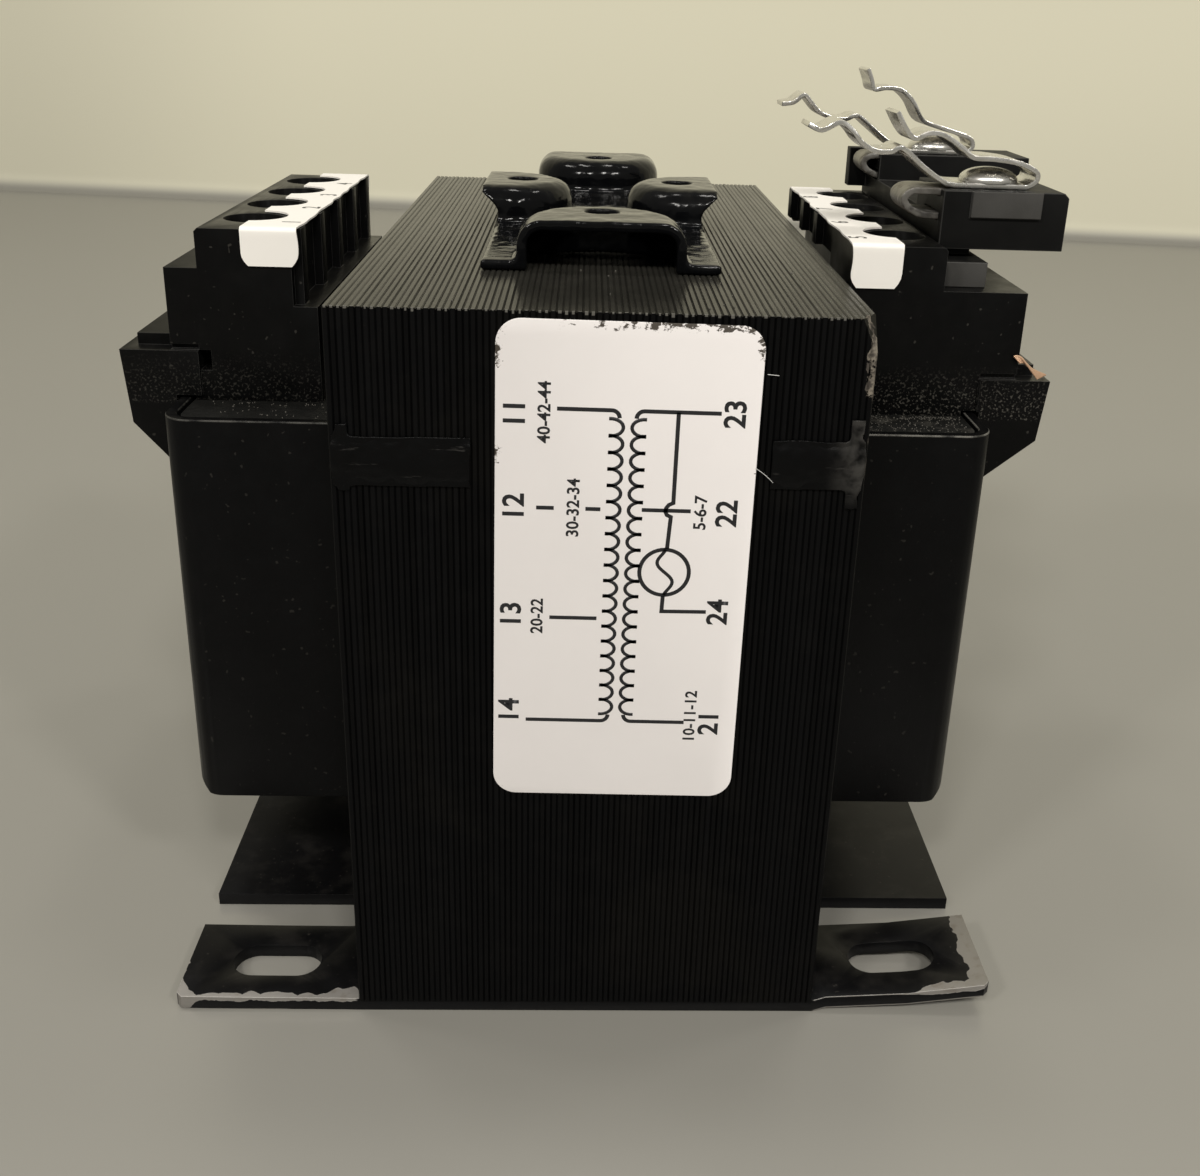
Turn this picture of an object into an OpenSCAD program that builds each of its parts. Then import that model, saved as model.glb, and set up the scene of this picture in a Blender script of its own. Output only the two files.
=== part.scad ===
// Laminated chassis-mount control transformer with screw terminal blocks and a secondary fuse block.
// Frame: +X to the secondary terminals, +Y to the rear, +Z up. Millimetres.
// The origin is the centre of the mounting slots, on the underside of the mounting plate.

/* [Core] */
// Width of the centre leg, which the other sizes of the E and I plates follow
leg_w = 31.75; // [20:0.05:50]
// Number of plates in the stack
plates = 84; // [20:1:120]
// Thickness of one plate
plate_pitch = 0.61; // [0.35:0.01:1]
// Depth of the groove that shows between two plates
groove = 0.16; // [0:0.01:0.4]
// How unevenly the plates are stacked
unevenness = 0.05; // [0:0.01:0.1]
// How deep the bruise cuts into the top right corner of the front
bruise = 1.3; // [0.2:0.1:3]

/* [Mounting plate] */
// Thickness of the mounting plate
base_t = 1.6; // [1.2:0.1:4]
// How far the mounting plate reaches past each side of the core
base_reach = 20.58; // [15:0.01:30]
// How far the mounting plate stays back from the front and rear of the core
base_inset = 0.425; // [0:0.005:3]
// Front to back size of each lug
lug_d = 12.2; // [8:0.1:20]
// Width of the notch between a lug and the middle tongue
notch_w = 6.0; // [2:0.1:10]
// Distance of a mounting slot's middle from the side of the plate
slot_in = 10.1; // [7:0.1:14]
// Length of each mounting slot
slot_l = 10.1; // [6:0.1:20]
// Width of each mounting slot
slot_w = 5.1; // [4:0.1:9]
// How far the tip of the right front lug is bent up
bend_right = 2.3; // [0:0.1:5]
// How far the tip of the left front lug is bent up
bend_left = 0.2; // [0:0.1:5]

/* [Accessory plate] */
// Side to side size of the plate on top of the core
acc_w = 25.4; // [20:0.1:40]
// Front to back size of the plate
acc_d = 68.0; // [60:0.1:90]
// How far the middle of the plate lies behind the middle of the core
acc_shift = 4.8; // [-6:0.1:6]
// Sheet thickness of the plate
acc_t = 1.1; // [0.6:0.1:2]
// Height of the four raised domes
dome_h = 5.3; // [2:0.1:8]
// Radius of the domes in plan
dome_r = 8.9; // [5:0.1:12]
// Rounding of the dome tops
dome_edge = 2.6; // [1.2:0.1:4]
// Diameter of the screw hole in each dome
dome_hole = 3.7; // [2:0.1:6]
// Side to side distance between the side domes' holes
dome_span_x = 19.6; // [15:0.1:30]
// Front to back distance between the end domes' holes
dome_span_y = 53.0; // [40:0.1:70]
// How far the side domes reach past the plate
dome_flare = 1.7; // [0:0.1:3]

/* [Coil] */
// Clearance between the core's centre leg and the coil former
former_gap = 0.4; // [0.2:0.05:1]
// Wall of the coil former
former_t = 1.3; // [0.8:0.1:3]
// Share of the copper that the primary winding has
primary_share = 0.57; // [0.4:0.01:0.7]
// Room between the coil and the primary cover
cover_room_left = 4.1; // [0.5:0.1:8]
// Room between the coil and the secondary cover
cover_room_right = 0.7; // [0.5:0.1:8]
// Wall of the coil covers
cover_t = 1.2; // [0.8:0.1:3]
// Corner radius of the coil covers
cover_r = 3.2; // [1.5:0.1:8]

/* [Terminal blocks] */
// Height of the terminal blocks' top above the core
term_rise = 2.525; // [1:0.005:10]
// Height of the raised row that holds the screws
row_h = 4.3; // [2:0.1:8]
// Width of the raised row on the primary side
row_w_left = 10.2; // [9:0.1:14]
// Width of the raised row on the secondary side
row_w_right = 9.7; // [9:0.1:14]
// Distance between two terminals
term_pitch = 10.9; // [8:0.1:14]
// Front to back position of the middle of the terminals
term_y = 1.3; // [-5:0.1:5]
// Diameter of the screw wells
well_dia = 6.7; // [5:0.1:9]

/* [Fuse block] */
// Front face of the fuse block
fuse_y0 = -17.5; // [-25:0.1:-5]
// Rear face of the fuse block
fuse_y1 = 27.0; // [15:0.1:35]
// Height of the pads above the terminal blocks' top
pad_rise = 5.5; // [4:0.1:12]
// Side to side length of the front pad
pad_l = 14.3; // [12:0.1:25]
// Side to side length of the rear pad
rear_pad_l = 20.6; // [14:0.1:30]
// Width of the fuse clips
clip_w = 5.8; // [4:0.1:10]
// Sheet thickness of the fuse clips
clip_t = 0.55; // [0.3:0.05:1]

/* [Markings] */
// Width of the wiring label
label_w = 25.0; // [15:0.1:40]
// Height of the wiring label
label_h = 50.8; // [30:0.1:60]
// Thickness of the wiring label
label_t = 0.12; // [0.05:0.01:0.5]
// Turn of the wiring label
label_turn = 0.6; // [-5:0.1:5]
// Thickness of the marker strips
strip_t = 0.3; // [0.1:0.05:0.6]

/* [Hidden] */
$fn = 64;
eps = 0.01;
stack_w = plates * plate_pitch;
side_x = stack_w / 2;
core_d = 3 * leg_w;
core_h = 2.5 * leg_w;
front_y = core_d / 2;
yoke = leg_w / 2;
base_w = stack_w + 2 * base_reach;
base_d = core_d - 2 * base_inset;
slot_x = base_w / 2 - slot_in;
slot_y = (base_d - lug_d) / 2;
acc_y0 = acc_shift - acc_d / 2;
acc_y1 = acc_shift + acc_d / 2;
core_z0 = base_t;
core_z1 = base_t + core_h;
joint_z = core_z1 - yoke;
window_z0 = core_z0 + yoke;
window_y0 = leg_w / 2;
window_y1 = leg_w;
form_x = side_x + former_gap + former_t;
form_y = leg_w / 2 + former_gap + former_t;
form_z0 = window_z0 + 1.5;
form_z1 = joint_z - 0.8;
flange_t = 1.2;
wrap_t = 0.4;
layer_gap = 0.3;
cover_y = window_y1 - 0.15;
flange_y = cover_y - cover_t - 0.2;
copper = flange_y - 0.3 - form_y - 4 * layer_gap - 2 * wrap_t;
primary_build = primary_share * copper;
secondary_build = copper - primary_build;
coil_build = copper + 4 * layer_gap + 2 * wrap_t;
end_bulge = 1.15;
cover_left = form_x + end_bulge * coil_build + cover_room_left + cover_t;
cover_right = form_x + end_bulge * coil_build + cover_room_right + cover_t;
wind_z0 = form_z0 + flange_t;
wind_z1 = form_z1 - flange_t - 0.3;
cover_z0 = form_z0 - cover_t;
cover_z1 = joint_z - 0.4;
cover_x0 = side_x + 0.3;
term_top = core_z1 + term_rise;
term_y0 = term_y - 2 * term_pitch - 2.5;
term_y1 = term_y + 2 * term_pitch + 1.1;
row_z0 = term_top - row_h;
inner_z = term_top - 8.3;
foot_z = form_z1;
skirt_gap = 0.3;
label_x = 2.4;
label_drop = 26.2;
overhang_z = term_top - 3.8;
skirt_step = 0.5;
post_d = 13.5;
rib_d = 1.0;
row_out_left = cover_left - 3.0;
row_out_right = cover_right - 5.3;
row_in_left = row_out_left - row_w_left;
row_in_right = row_out_right - row_w_right;
screw_x_left = row_out_left - 4.6;
screw_x_right = row_out_right - 4.1;
body_top_right = term_top - 4.8;
shelf_z_left = term_top - 13.4;
shelf_z_right = term_top - 14.7;
head_dia = 6.0;
head_h = 2.2;
seat_z = term_top - 3.2;
shank_dia = 3.5;
chamber_z1 = term_top - 5.8;
chamber_z0 = term_top - 11.8;
chamber_in = 3.1;
cage_w = 6.0;
cage_h = 4.6;
fuse_x0 = row_out_right + 0.3;
pad_x = fuse_x0 + pad_l;
rear_pad_x = fuse_x0 + rear_pad_l;
fuse_z0 = term_top - 1.0;
fuse_floor = term_top + 2.4;
pad_z = term_top + pad_rise;
rear_pad_z = pad_z + 0.4;
rear_pad_y = fuse_y1 - 10.4;
front_clip_y = fuse_y0 + 1.9;
rear_clip_y = fuse_y1 - 9.2;
strap_t = 0.8;
strap_w = 6.0;
strap_turn = 3.1;
rear_strap_dx = 2.0;
rivet_front = [fuse_x0 + 6.2, front_clip_y + 3.0];
rivet_rear = [fuse_x0 + 8.0, rear_clip_y + 3.0];
clip_z_front = pad_z + clip_t / 2 + 0.05;
clip_z_rear = rear_pad_z + clip_t / 2 + 0.05;

// ---- helpers -------------------------------------------------------------------------------

// How far plate number i stands out from the stack, between 0 and 1.
function standing(i) = 0.5 + 0.3 * sin(i * 97.3) + 0.2 * sin(i * 211.7 + 40);

// Outline points along one ridged side: x runs across the stack, the second value is the height.
function ridges(top) = concat([
    for (i = [0:plates - 1], k = [0:2])
        let (x0 = -side_x + i * plate_pitch, up = top - unevenness * (1 - standing(i)))
            [x0 + [0, 0.2, 0.8][k] * plate_pitch, k == 0 ? top - groove : up]
], [[side_x, top - groove]]);
function flipped(pts) = [for (i = [len(pts) - 1:-1:0]) [pts[i][0], -pts[i][1]]];

// One smooth curve through a row of points.
function knot(p, i) = p[max(0, min(len(p) - 1, i))];
function bend(a, b, c, d, t) = 0.5 * (2 * b + (c - a) * t + (2 * a - 5 * b + 4 * c - d) * t * t
    + (3 * b - a - 3 * c + d) * t * t * t);
function smooth(p, steps) = concat([
    for (i = [0:len(p) - 2], k = [0:steps - 1])
        bend(knot(p, i - 1), knot(p, i), knot(p, i + 1), knot(p, i + 2), k / steps)
], [p[len(p) - 1]]);
function across(p, i) = let (v = knot(p, i + 1) - knot(p, i - 1)) [-v[1], v[0]] / norm(v);
function strip_outline(p, t) = concat(
    [for (i = [0:len(p) - 1]) p[i] + across(p, i) * t / 2],
    [for (i = [len(p) - 1:-1:0]) p[i] - across(p, i) * t / 2]);

// A bent strip: the path is drawn in X and Z, and the strip is w wide from y0 to the rear.
module bent_strip(path, t, y0, w) {
    translate([0, y0 + w, 0]) rotate([90, 0, 0])
        linear_extrude(w) polygon(strip_outline(path, t));
}

// A block with rounded upright edges, centred in plan.
module rounded_block(hx, hy, z0, z1, r) {
    translate([0, 0, z0]) linear_extrude(z1 - z0) union() {
        square([2 * hx - 2 * r, 2 * hy], center = true);
        square([2 * hx, 2 * hy - 2 * r], center = true);
        for (sx = [-1, 1], sy = [-1, 1]) translate([sx * (hx - r), sy * (hy - r)]) circle(r);
    }
}

module slot_cut(x, y, l, w, z0, z1) {
    for (s = [-1, 1]) translate([x + s * (l - w) / 2, y, z0]) cylinder(d = w, h = z1 - z0);
    translate([x - (l - w) / 2, y - w / 2, z0]) cube([l - w, w, z1 - z0]);
}

// A profile drawn in X and Z, drawn out from y0 to y1.
module profile_xz(pts, y0, y1) {
    translate([0, y1, 0]) rotate([90, 0, 0]) linear_extrude(y1 - y0) polygon(pts);
}

function term_ys() = [for (i = [0:3]) term_y + (i - 1.5) * term_pitch];

// ---- core ----------------------------------------------------------------------------------

module e_laminations() {
    color([0.05, 0.05, 0.055]) difference() {
        translate([0, 0, core_z0]) linear_extrude(joint_z - core_z0)
            polygon(concat(ridges(front_y), flipped(ridges(front_y))));
        for (s = [-1, 1])
            translate([-side_x - 1, s > 0 ? window_y0 : -window_y1, window_z0])
                cube([stack_w + 2, window_y1 - window_y0, core_h]);
    }
}

module i_laminations() {
    color([0.055, 0.055, 0.06]) difference() {
        intersection() {
            translate([0, 0, joint_z]) linear_extrude(yoke + 1)
                polygon(concat(ridges(front_y), flipped(ridges(front_y))));
            translate([0, front_y + 1, 0]) rotate([90, 0, 0]) linear_extrude(core_d + 2)
                polygon(concat(ridges(core_z1), [[side_x, joint_z], [-side_x, joint_z]]));
        }
        // bruised corner at the top right of the front
        translate([side_x, -front_y, core_z1]) rotate([0, 68, -33])
            translate([-5, -5, -bruise]) cube([10, 10, 5]);
    }
}

// Weld and varnish beads that bridge the joint between the E and the I plates.
module core_weld_beads() {
    bead_r = 8.6;
    bead_t = 0.55;
    run_t = 0.4;
    back = front_y + 0.01;
    color([0.06, 0.06, 0.065]) union() {
        for (b = [
            [-1, -side_x, 13.4, joint_z + 1.1], [-1, side_x - 9.4, 9.4, joint_z + 1.4],
            [1, -side_x, 12, joint_z + 1.1], [1, side_x - 11.6, 11.6, joint_z + 1.3]])
        intersection() {
            translate([b[1], b[0] * (back + bead_t - bead_r), b[3]]) rotate([0, 90, 0])
                cylinder(r = bead_r, h = b[2], $fn = 400);
            translate([b[1], b[0] > 0 ? back : -back - bead_t - 1, b[3] - 6])
                cube([b[2], bead_t + 1, 12]);
        }
        // runs down the front edges: middle, half width, lower and upper end
        for (r = [[-side_x + 1.2, 1.15, -2.1, 4.9], [side_x - 1.2, 1.3, -3.0, 6.2]])
            intersection() {
                translate([r[0], r[1] - run_t - back, joint_z + r[2]])
                    cylinder(r = r[1], h = r[3] - r[2]);
                translate([r[0] - 2, -back - 2, joint_z - 8]) cube([4, 2, 20]);
            }
    }
}

// ---- mounting plate ------------------------------------------------------------------------

module mounting_plate() {
    hx = base_w / 2;
    hy = base_d / 2;
    pan_x = side_x + 0.4;
    tongue = hy - lug_d - notch_w;
    knee_x = pan_x + 1.4;
    mid_x = (knee_x + hx) / 2;
    color([0.07, 0.07, 0.075]) difference() {
        union() {
            translate([-pan_x, -hy, 0]) cube([2 * pan_x, base_d, base_t]);
            translate([-hx, -tongue, 0]) cube([base_w, 2 * tongue, base_t]);
            translate([-pan_x - notch_w / 2, lug_d - hy, 0])
                cube([2 * pan_x + notch_w, base_d - 2 * lug_d, base_t]);
            // rear lugs lie flat, front lugs are bent up
            translate([-hx, hy - lug_d, 0]) cube([base_w, lug_d, base_t]);
            for (lug = [[1, bend_right], [-1, bend_left]]) {
                under = [[pan_x - 1, 0], [pan_x, 0], [knee_x, 0.22 * lug[1]],
                    [mid_x, 0.45 * lug[1]], [hx, lug[1]]];
                profile_xz(concat([for (p = under) [lug[0] * p[0], p[1]]],
                    [for (i = [4:-1:0]) [lug[0] * under[i][0], under[i][1] + base_t]]),
                    -hy, -hy + lug_d);
            }
        }
        // notches between the lugs and the tongue, with round inner ends
        for (sx = [-1, 1], sy = [-1, 1]) {
            y = sy * (hy - lug_d - notch_w / 2);
            translate([sx * (pan_x + notch_w / 2), y, -1]) cylinder(d = notch_w, h = base_t + 6);
            translate([sx > 0 ? pan_x + notch_w / 2 : -hx - 1, y - notch_w / 2, -1])
                cube([hx - pan_x - notch_w / 2 + 1, notch_w, base_t + 6]);
        }
        for (sx = [-1, 1], sy = [-1, 1])
            slot_cut(sx * slot_x, sy * slot_y, slot_l, slot_w, -1, base_t + 6);
        // clipped outer corners of the lugs
        for (sx = [-1, 1], sy = [-1, 1]) translate([sx * hx, sy * hy, 3]) rotate([0, 0, 45])
            cube([0.9, 0.9, 12], center = true);
    }
}

// ---- accessory plate -----------------------------------------------------------------------

module dome_section(r, h, edge) {
    square([r - edge, h]);
    square([r, h - edge]);
    translate([r - edge, h - edge]) circle(edge);
}

// A half-round dome: round end behind the origin, open side towards -Y at distance reach.
module dome_body(r, h, edge, reach) {
    rotate_extrude(angle = 180) intersection() {
        dome_section(r, h, edge);
        square([r + 1, h + 1]);
    }
    rotate([90, 0, 0]) linear_extrude(reach) for (s = [0, 1]) mirror([s, 0]) intersection() {
        dome_section(r, h, edge);
        square([r + 1, h + 1]);
    }
}

module dome_foot(r, t, f, reach) {
    rotate_extrude(angle = 180) difference() {
        square([r + f, t + f]);
        translate([r + f, t + f]) circle(f);
    }
    rotate([90, 0, 0]) linear_extrude(reach) for (s = [0, 1]) mirror([s, 0]) difference() {
        square([r + f, t + f]);
        translate([r + f, t + f]) circle(f);
    }
}

module accessory_plate() {
    z = core_z1;
    mid = (acc_y0 + acc_y1) / 2;
    side_reach = 2.1;
    end_reach = (acc_y1 - acc_y0) / 2 - dome_span_y / 2 - 2.9;
    side_c = acc_w / 2 + dome_flare - side_reach;
    seats = [[0, acc_y0 + end_reach, 0, end_reach], [0, acc_y1 - end_reach, 180, end_reach],
        [-side_c, mid, -90, side_reach], [side_c, mid, 90, side_reach]];
    color([0.04, 0.04, 0.045]) difference() {
        union() {
            translate([-acc_w / 2, acc_y0, z]) cube([acc_w, acc_y1 - acc_y0, acc_t]);
            difference() {
                union() for (s = seats) translate([s[0], s[1], z]) rotate([0, 0, s[2]]) {
                    dome_body(dome_r, dome_h, dome_edge, s[3]);
                    dome_foot(dome_r, acc_t - 0.1, 0.9, s[3]);
                }
                // the side domes flare outwards as they rise
                for (s = [-1, 1]) translate([s * acc_w / 2, mid, z]) rotate([0, s * 21, 0])
                    translate([s > 0 ? 0 : -8, -dome_r - 2, -6])
                        cube([8, 2 * dome_r + 4, 12 - 0.4]);
            }
        }
        for (s = seats) translate([s[0], s[1], z - eps]) rotate([0, 0, s[2]])
            dome_body(dome_r - acc_t, dome_h - acc_t + eps, dome_edge - acc_t, s[3] + 3);
        for (s = [-1, 1]) {
            translate([s * dome_span_x / 2, mid, z]) cylinder(d = dome_hole, h = 12);
            translate([0, mid + s * dome_span_y / 2, z]) cylinder(d = dome_hole, h = 12);
        }
    }
}

// ---- coil ----------------------------------------------------------------------------------

module ring(a, b, z0, z1) {
    difference() {
        rounded_block(form_x + end_bulge * b, form_y + b, z0, z1, 1 + b);
        rounded_block(form_x + end_bulge * a, form_y + a, z0 - 1, z1 + 1, 1 + a);
    }
}

module coil_former() {
    shift = (cover_right - cover_left) / 2;
    reach = (cover_right + cover_left) / 2 - cover_t - layer_gap;
    color([0.08, 0.08, 0.08]) difference() {
        union() {
            rounded_block(form_x, form_y, form_z0, form_z1, 1);
            for (z = [form_z0, form_z1 - flange_t]) translate([shift, 0, 0])
                rounded_block(reach, flange_y, z, z + flange_t, cover_r - cover_t + 0.2);
            // feet that stand on the yoke inside the windows
            for (s = [-1, 1]) translate([-side_x + 2, s > 0 ? form_y - 1 : -flange_y, window_z0])
                cube([stack_w - 4, flange_y - form_y + 1, form_z0 - window_z0 + 0.2]);
        }
        rounded_block(form_x - former_t, form_y - former_t, form_z0 - 1, form_z1 + 1, 0.5);
    }
}

module primary_winding() {
    color([0.62, 0.3, 0.16]) ring(layer_gap, layer_gap + primary_build, wind_z0, wind_z1);
}

module winding_insulation() {
    a = 2 * layer_gap + primary_build;
    color([0.75, 0.66, 0.45]) ring(a, a + wrap_t, wind_z0, wind_z1);
}

module secondary_winding() {
    a = 3 * layer_gap + wrap_t + primary_build;
    color([0.68, 0.34, 0.18]) ring(a, a + secondary_build, wind_z0, wind_z1);
}

module coil_wrap() {
    a = 4 * layer_gap + wrap_t + copper;
    color([0.12, 0.1, 0.08]) ring(a, a + wrap_t, wind_z0, wind_z1);
}

// A tub around one end of the coil, open towards the core and at the top.
module coil_cover(reach) {
    difference() {
        rounded_block(reach, cover_y, cover_z0, cover_z1, cover_r);
        rounded_block(reach - cover_t, cover_y - cover_t, cover_z0 + cover_t, cover_z1 + 1,
            cover_r - cover_t);
        translate([-2 * reach, -cover_y - 1, cover_z0 - 1])
            cube([2 * reach + cover_x0, 2 * cover_y + 2, cover_z1]);
        // soft lower corner
        translate([reach, 0, cover_z0]) rotate([0, 45, 0])
            cube([2.2, 3 * cover_y, 2.2], center = true);
    }
}

module primary_coil_cover() {
    color([0.045, 0.045, 0.05]) mirror([1, 0, 0]) coil_cover(cover_left);
}

module secondary_coil_cover() {
    color([0.045, 0.045, 0.05]) union() {
        coil_cover(cover_right);
        // folded end of the cover on the outer side
        translate([cover_right - 0.5, 6.1 - cover_y, cover_z0 + 3.0]) cube([1.5, 5, 13]);
    }
}

// ---- terminal blocks -----------------------------------------------------------------------

// One terminal block for the +X side. Its raised row overhangs the wall that faces the core, and
// its skirt hooks over the side of the coil cover.
// The skirt's front end starts at skirt_in, and first_rib counts from the front.
module terminal_block(row_in, row_out, post_in, wall_in, wall_z, body_out, body_top, shelf,
        shelf_z, skirt_in, cover, screw_x, first_rib) {
    lip = cover_z1 + 0.3;
    hook = cover + skirt_gap;
    inside = cover - cover_t - 0.5;
    difference() {
        union() {
            profile_xz([[wall_in, foot_z], [inside, foot_z], [inside, lip], [hook, lip],
                [hook, cover_z1 - 8.8], [shelf - 0.7, cover_z1 - 3.0], [shelf, shelf_z],
                [body_out, shelf_z], [body_out, body_top], [row_out, body_top],
                [row_out, term_top], [row_in, term_top], [row_in, wall_z], [wall_in, wall_z]],
                term_y0, term_y1);
            // thick end towards the front
            translate([post_in, term_y0, foot_z]) cube([8, post_d, term_top - foot_z]);
            // the skirt's front end stands a little forward
            profile_xz([[skirt_in, lip], [hook, lip], [hook, cover_z1 - 8.8],
                [shelf - 0.7, cover_z1 - 3.0], [shelf, shelf_z], [skirt_in, shelf_z]],
                term_y0 - skirt_step, term_y0 + 1);
            // raised step on the wire shelf
            translate([body_out - 1, term_y0 + 2, shelf_z - 0.5])
                cube([shelf - body_out - 0.3, term_y1 - term_y0 - 4, 1.8]);
            // ribs that carry the edge of the marker strip
            for (i = [first_rib:4])
                translate([row_in - rib_d, term_y + (i - 2) * term_pitch - 1.3, wall_z])
                    cube([rib_d + 1, 2.4, term_top - wall_z]);
        }
        for (y = term_ys()) {
            translate([screw_x, y, seat_z]) cylinder(d = well_dia, h = 8);
            translate([screw_x, y, chamber_z1 - 1]) cylinder(d = shank_dia + 0.8, h = 8);
            translate([screw_x - chamber_in, y - 3.2, chamber_z0])
                cube([body_out - screw_x + 10, 6.4, chamber_z1 - chamber_z0]);
        }
        // groove over the skirt's front end
        translate([skirt_in, term_y0 - 1, shelf_z + 0.05]) cube([body_out, 1.5, 0.6]);
        // softened long edge of the raised row
        translate([row_out, term_y0 - 1, term_top]) rotate([0, 45, 0])
            translate([-0.25, 0, -0.25]) cube([0.5, term_y1 - term_y0 + 2, 0.5]);
    }
}

module primary_terminal_block() {
    color([0.05, 0.05, 0.052]) mirror([1, 0, 0]) difference() {
        terminal_block(row_in_left, row_out_left, row_in_left, row_in_left - 2.6, inner_z,
            cover_left + 0.6, row_z0, cover_left + 6.1, shelf_z_left, cover_left - 2.5, cover_left,
            screw_x_left, 0);
        // moulding pocket beside the skirt
        translate([cover_left - 3.8, term_y0 - 1, shelf_z_left - 2.3]) cube([1.3, 5, 2.3]);
    }
}

module secondary_terminal_block() {
    color([0.05, 0.05, 0.052])
        terminal_block(row_in_right, row_out_right, row_in_right - 0.7, row_in_right + 1.8,
            overhang_z, cover_right + 4.2, body_top_right, cover_right + 8.0, shelf_z_right,
            cover_right, cover_right, screw_x_right, 2);
}

module terminal_screw() {
    difference() {
        cylinder(d = head_dia, h = head_h);
        translate([-head_dia, -0.5, head_h - 1.1]) cube([2 * head_dia, 1, 2]);
    }
    tip = chamber_z0 + 1.7 - seat_z;
    translate([0, 0, tip]) cylinder(d = shank_dia, h = 0.5 - tip);
}

module primary_terminal_screws() {
    color([0.72, 0.6, 0.36]) for (i = [0:3])
        translate([-screw_x_left, term_ys()[i], seat_z]) rotate([0, 0, 25 + 50 * i])
            terminal_screw();
}

module secondary_terminal_screws() {
    color([0.72, 0.6, 0.36]) for (i = [0:3])
        translate([screw_x_right, term_ys()[i], seat_z]) rotate([0, 0, 70 - 35 * i])
            terminal_screw();
}

// The open metal cage that clamps a wire under each screw.
module wire_cage() {
    difference() {
        translate([-cage_w / 2, -cage_w / 2, 0]) cube([cage_w, cage_w, cage_h]);
        translate([-cage_w, -cage_w / 2 + 0.8, 0.9]) cube([2 * cage_w, cage_w - 1.6, cage_h - 2.1]);
        translate([0, 0, 2]) cylinder(d = shank_dia + 0.3, h = cage_h);
    }
}

module primary_wire_cages() {
    color([0.75, 0.75, 0.72]) for (y = term_ys())
        translate([-screw_x_left, y, chamber_z0]) wire_cage();
}

module secondary_wire_cages() {
    color([0.75, 0.75, 0.72]) for (y = term_ys())
        translate([screw_x_right, y, chamber_z0]) wire_cage();
}

// Printed strip on the raised row, folded down at both ends and cut away round the wells.
// x0 and x1 are its sides on top, and f0 and f1 those of the folded ends.
module marker_strip(x0, x1, f0, f1, screw_x, drop) {
    difference() {
        union() {
            translate([x0, term_y0 - strip_t, term_top])
                cube([x1 - x0, term_y1 - term_y0 + 2 * strip_t, strip_t]);
            for (y = [term_y0 - strip_t, term_y1]) translate([f0, y, term_top - drop])
                cube([f1 - f0, strip_t, drop + 0.1]);
        }
        for (y = term_ys())
            translate([screw_x, y, term_top - 1]) cylinder(d = well_dia + 0.9, h = 3);
    }
}

module primary_marker_strip() {
    r = row_in_left;
    color([0.93, 0.91, 0.86]) mirror([1, 0, 0])
        marker_strip(r - rib_d - 0.2, r + 5.3, r + 0.1, r + 5.2, screw_x_left, 3.9);
}

module secondary_marker_strip() {
    r = row_in_right;
    color([0.93, 0.91, 0.86])
        marker_strip(r - rib_d - 0.2, r + 4.8, r - 0.6, r + 4.0, screw_x_right, 4.6);
}

module wiring_label() {
    r = 2.4;
    color([0.93, 0.92, 0.91])
        translate([label_x, -front_y - eps, core_z1 - label_drop])
            rotate([0, label_turn, 0]) rotate([90, 0, 0])
                rounded_block(label_w / 2, label_h / 2, 0, label_t, r);
}

// ---- fuse block ----------------------------------------------------------------------------

module fuse_block() {
    wall_x0 = fuse_x0 - 2.6;
    wall_z0 = term_top + strip_t + 0.3;
    color([0.06, 0.06, 0.06]) difference() {
        union() {
            translate([fuse_x0, fuse_y0, fuse_z0])
                cube([pad_x - fuse_x0, fuse_y1 - fuse_y0, fuse_floor - fuse_z0]);
            translate([fuse_x0, fuse_y0, fuse_z0]) cube([pad_x - fuse_x0, 12, pad_z - fuse_z0]);
            translate([fuse_x0, rear_pad_y, fuse_z0])
                cube([rear_pad_x - fuse_x0, fuse_y1 - rear_pad_y, rear_pad_z - fuse_z0]);
            // wall behind the rear link strap
            translate([wall_x0, fuse_y1 - 2.2, wall_z0])
                cube([rear_pad_x - wall_x0, 2.2, rear_pad_z - wall_z0]);
            // foot that stands on the terminal block
            translate([fuse_x0, term_y0 + 2.7, body_top_right])
                cube([5.1, term_y1 - term_y0 - 7.2, 2.8]);
            translate([fuse_x0 + 0.4, fuse_y0 + 2.5, body_top_right + 2])
                cube([4, 30, fuse_z0 - body_top_right - 2]);
            // worn nib on the front face
            translate([fuse_x0 + 3.2, fuse_y0 - 0.45, fuse_floor + 0.2])
                cube([8, 1, pad_z - fuse_floor - 0.2]);
        }
        // seats of the link straps, on the pads and where the straps turn back in
        for (s = [[0, front_clip_y - 0.1, pad_z],
            [rear_strap_dx, rear_clip_y - 0.1, rear_pad_z]]) {
            translate([fuse_x0 - 1, s[1] - 0.15, s[2] - 0.1 - strap_t])
                cube([10 + s[0], strap_w + 0.3, 2]);
            // this slot opens upwards by as much as the strap still slopes inside it
            translate([fuse_x0 - 1, s[1] - 0.15, s[2] - strap_turn - strap_t / 2 - 0.1])
                cube([3 + s[0], strap_w + 0.3, strap_t + 0.2 + 0.2 * s[0]]);
        }
        for (r = [rivet_front, rivet_rear])
            translate([r[0], r[1], fuse_z0 - 1]) cylinder(d = 3.4, h = 12);
        // softened outer top edge of the front pad
        translate([pad_x, fuse_y0 - 1, pad_z]) rotate([0, 45, 0])
            translate([-0.4, 0, -0.4]) cube([0.8, 14, 0.8]);
    }
}

function moved(path, by) = [for (p = path) p + by];

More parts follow.
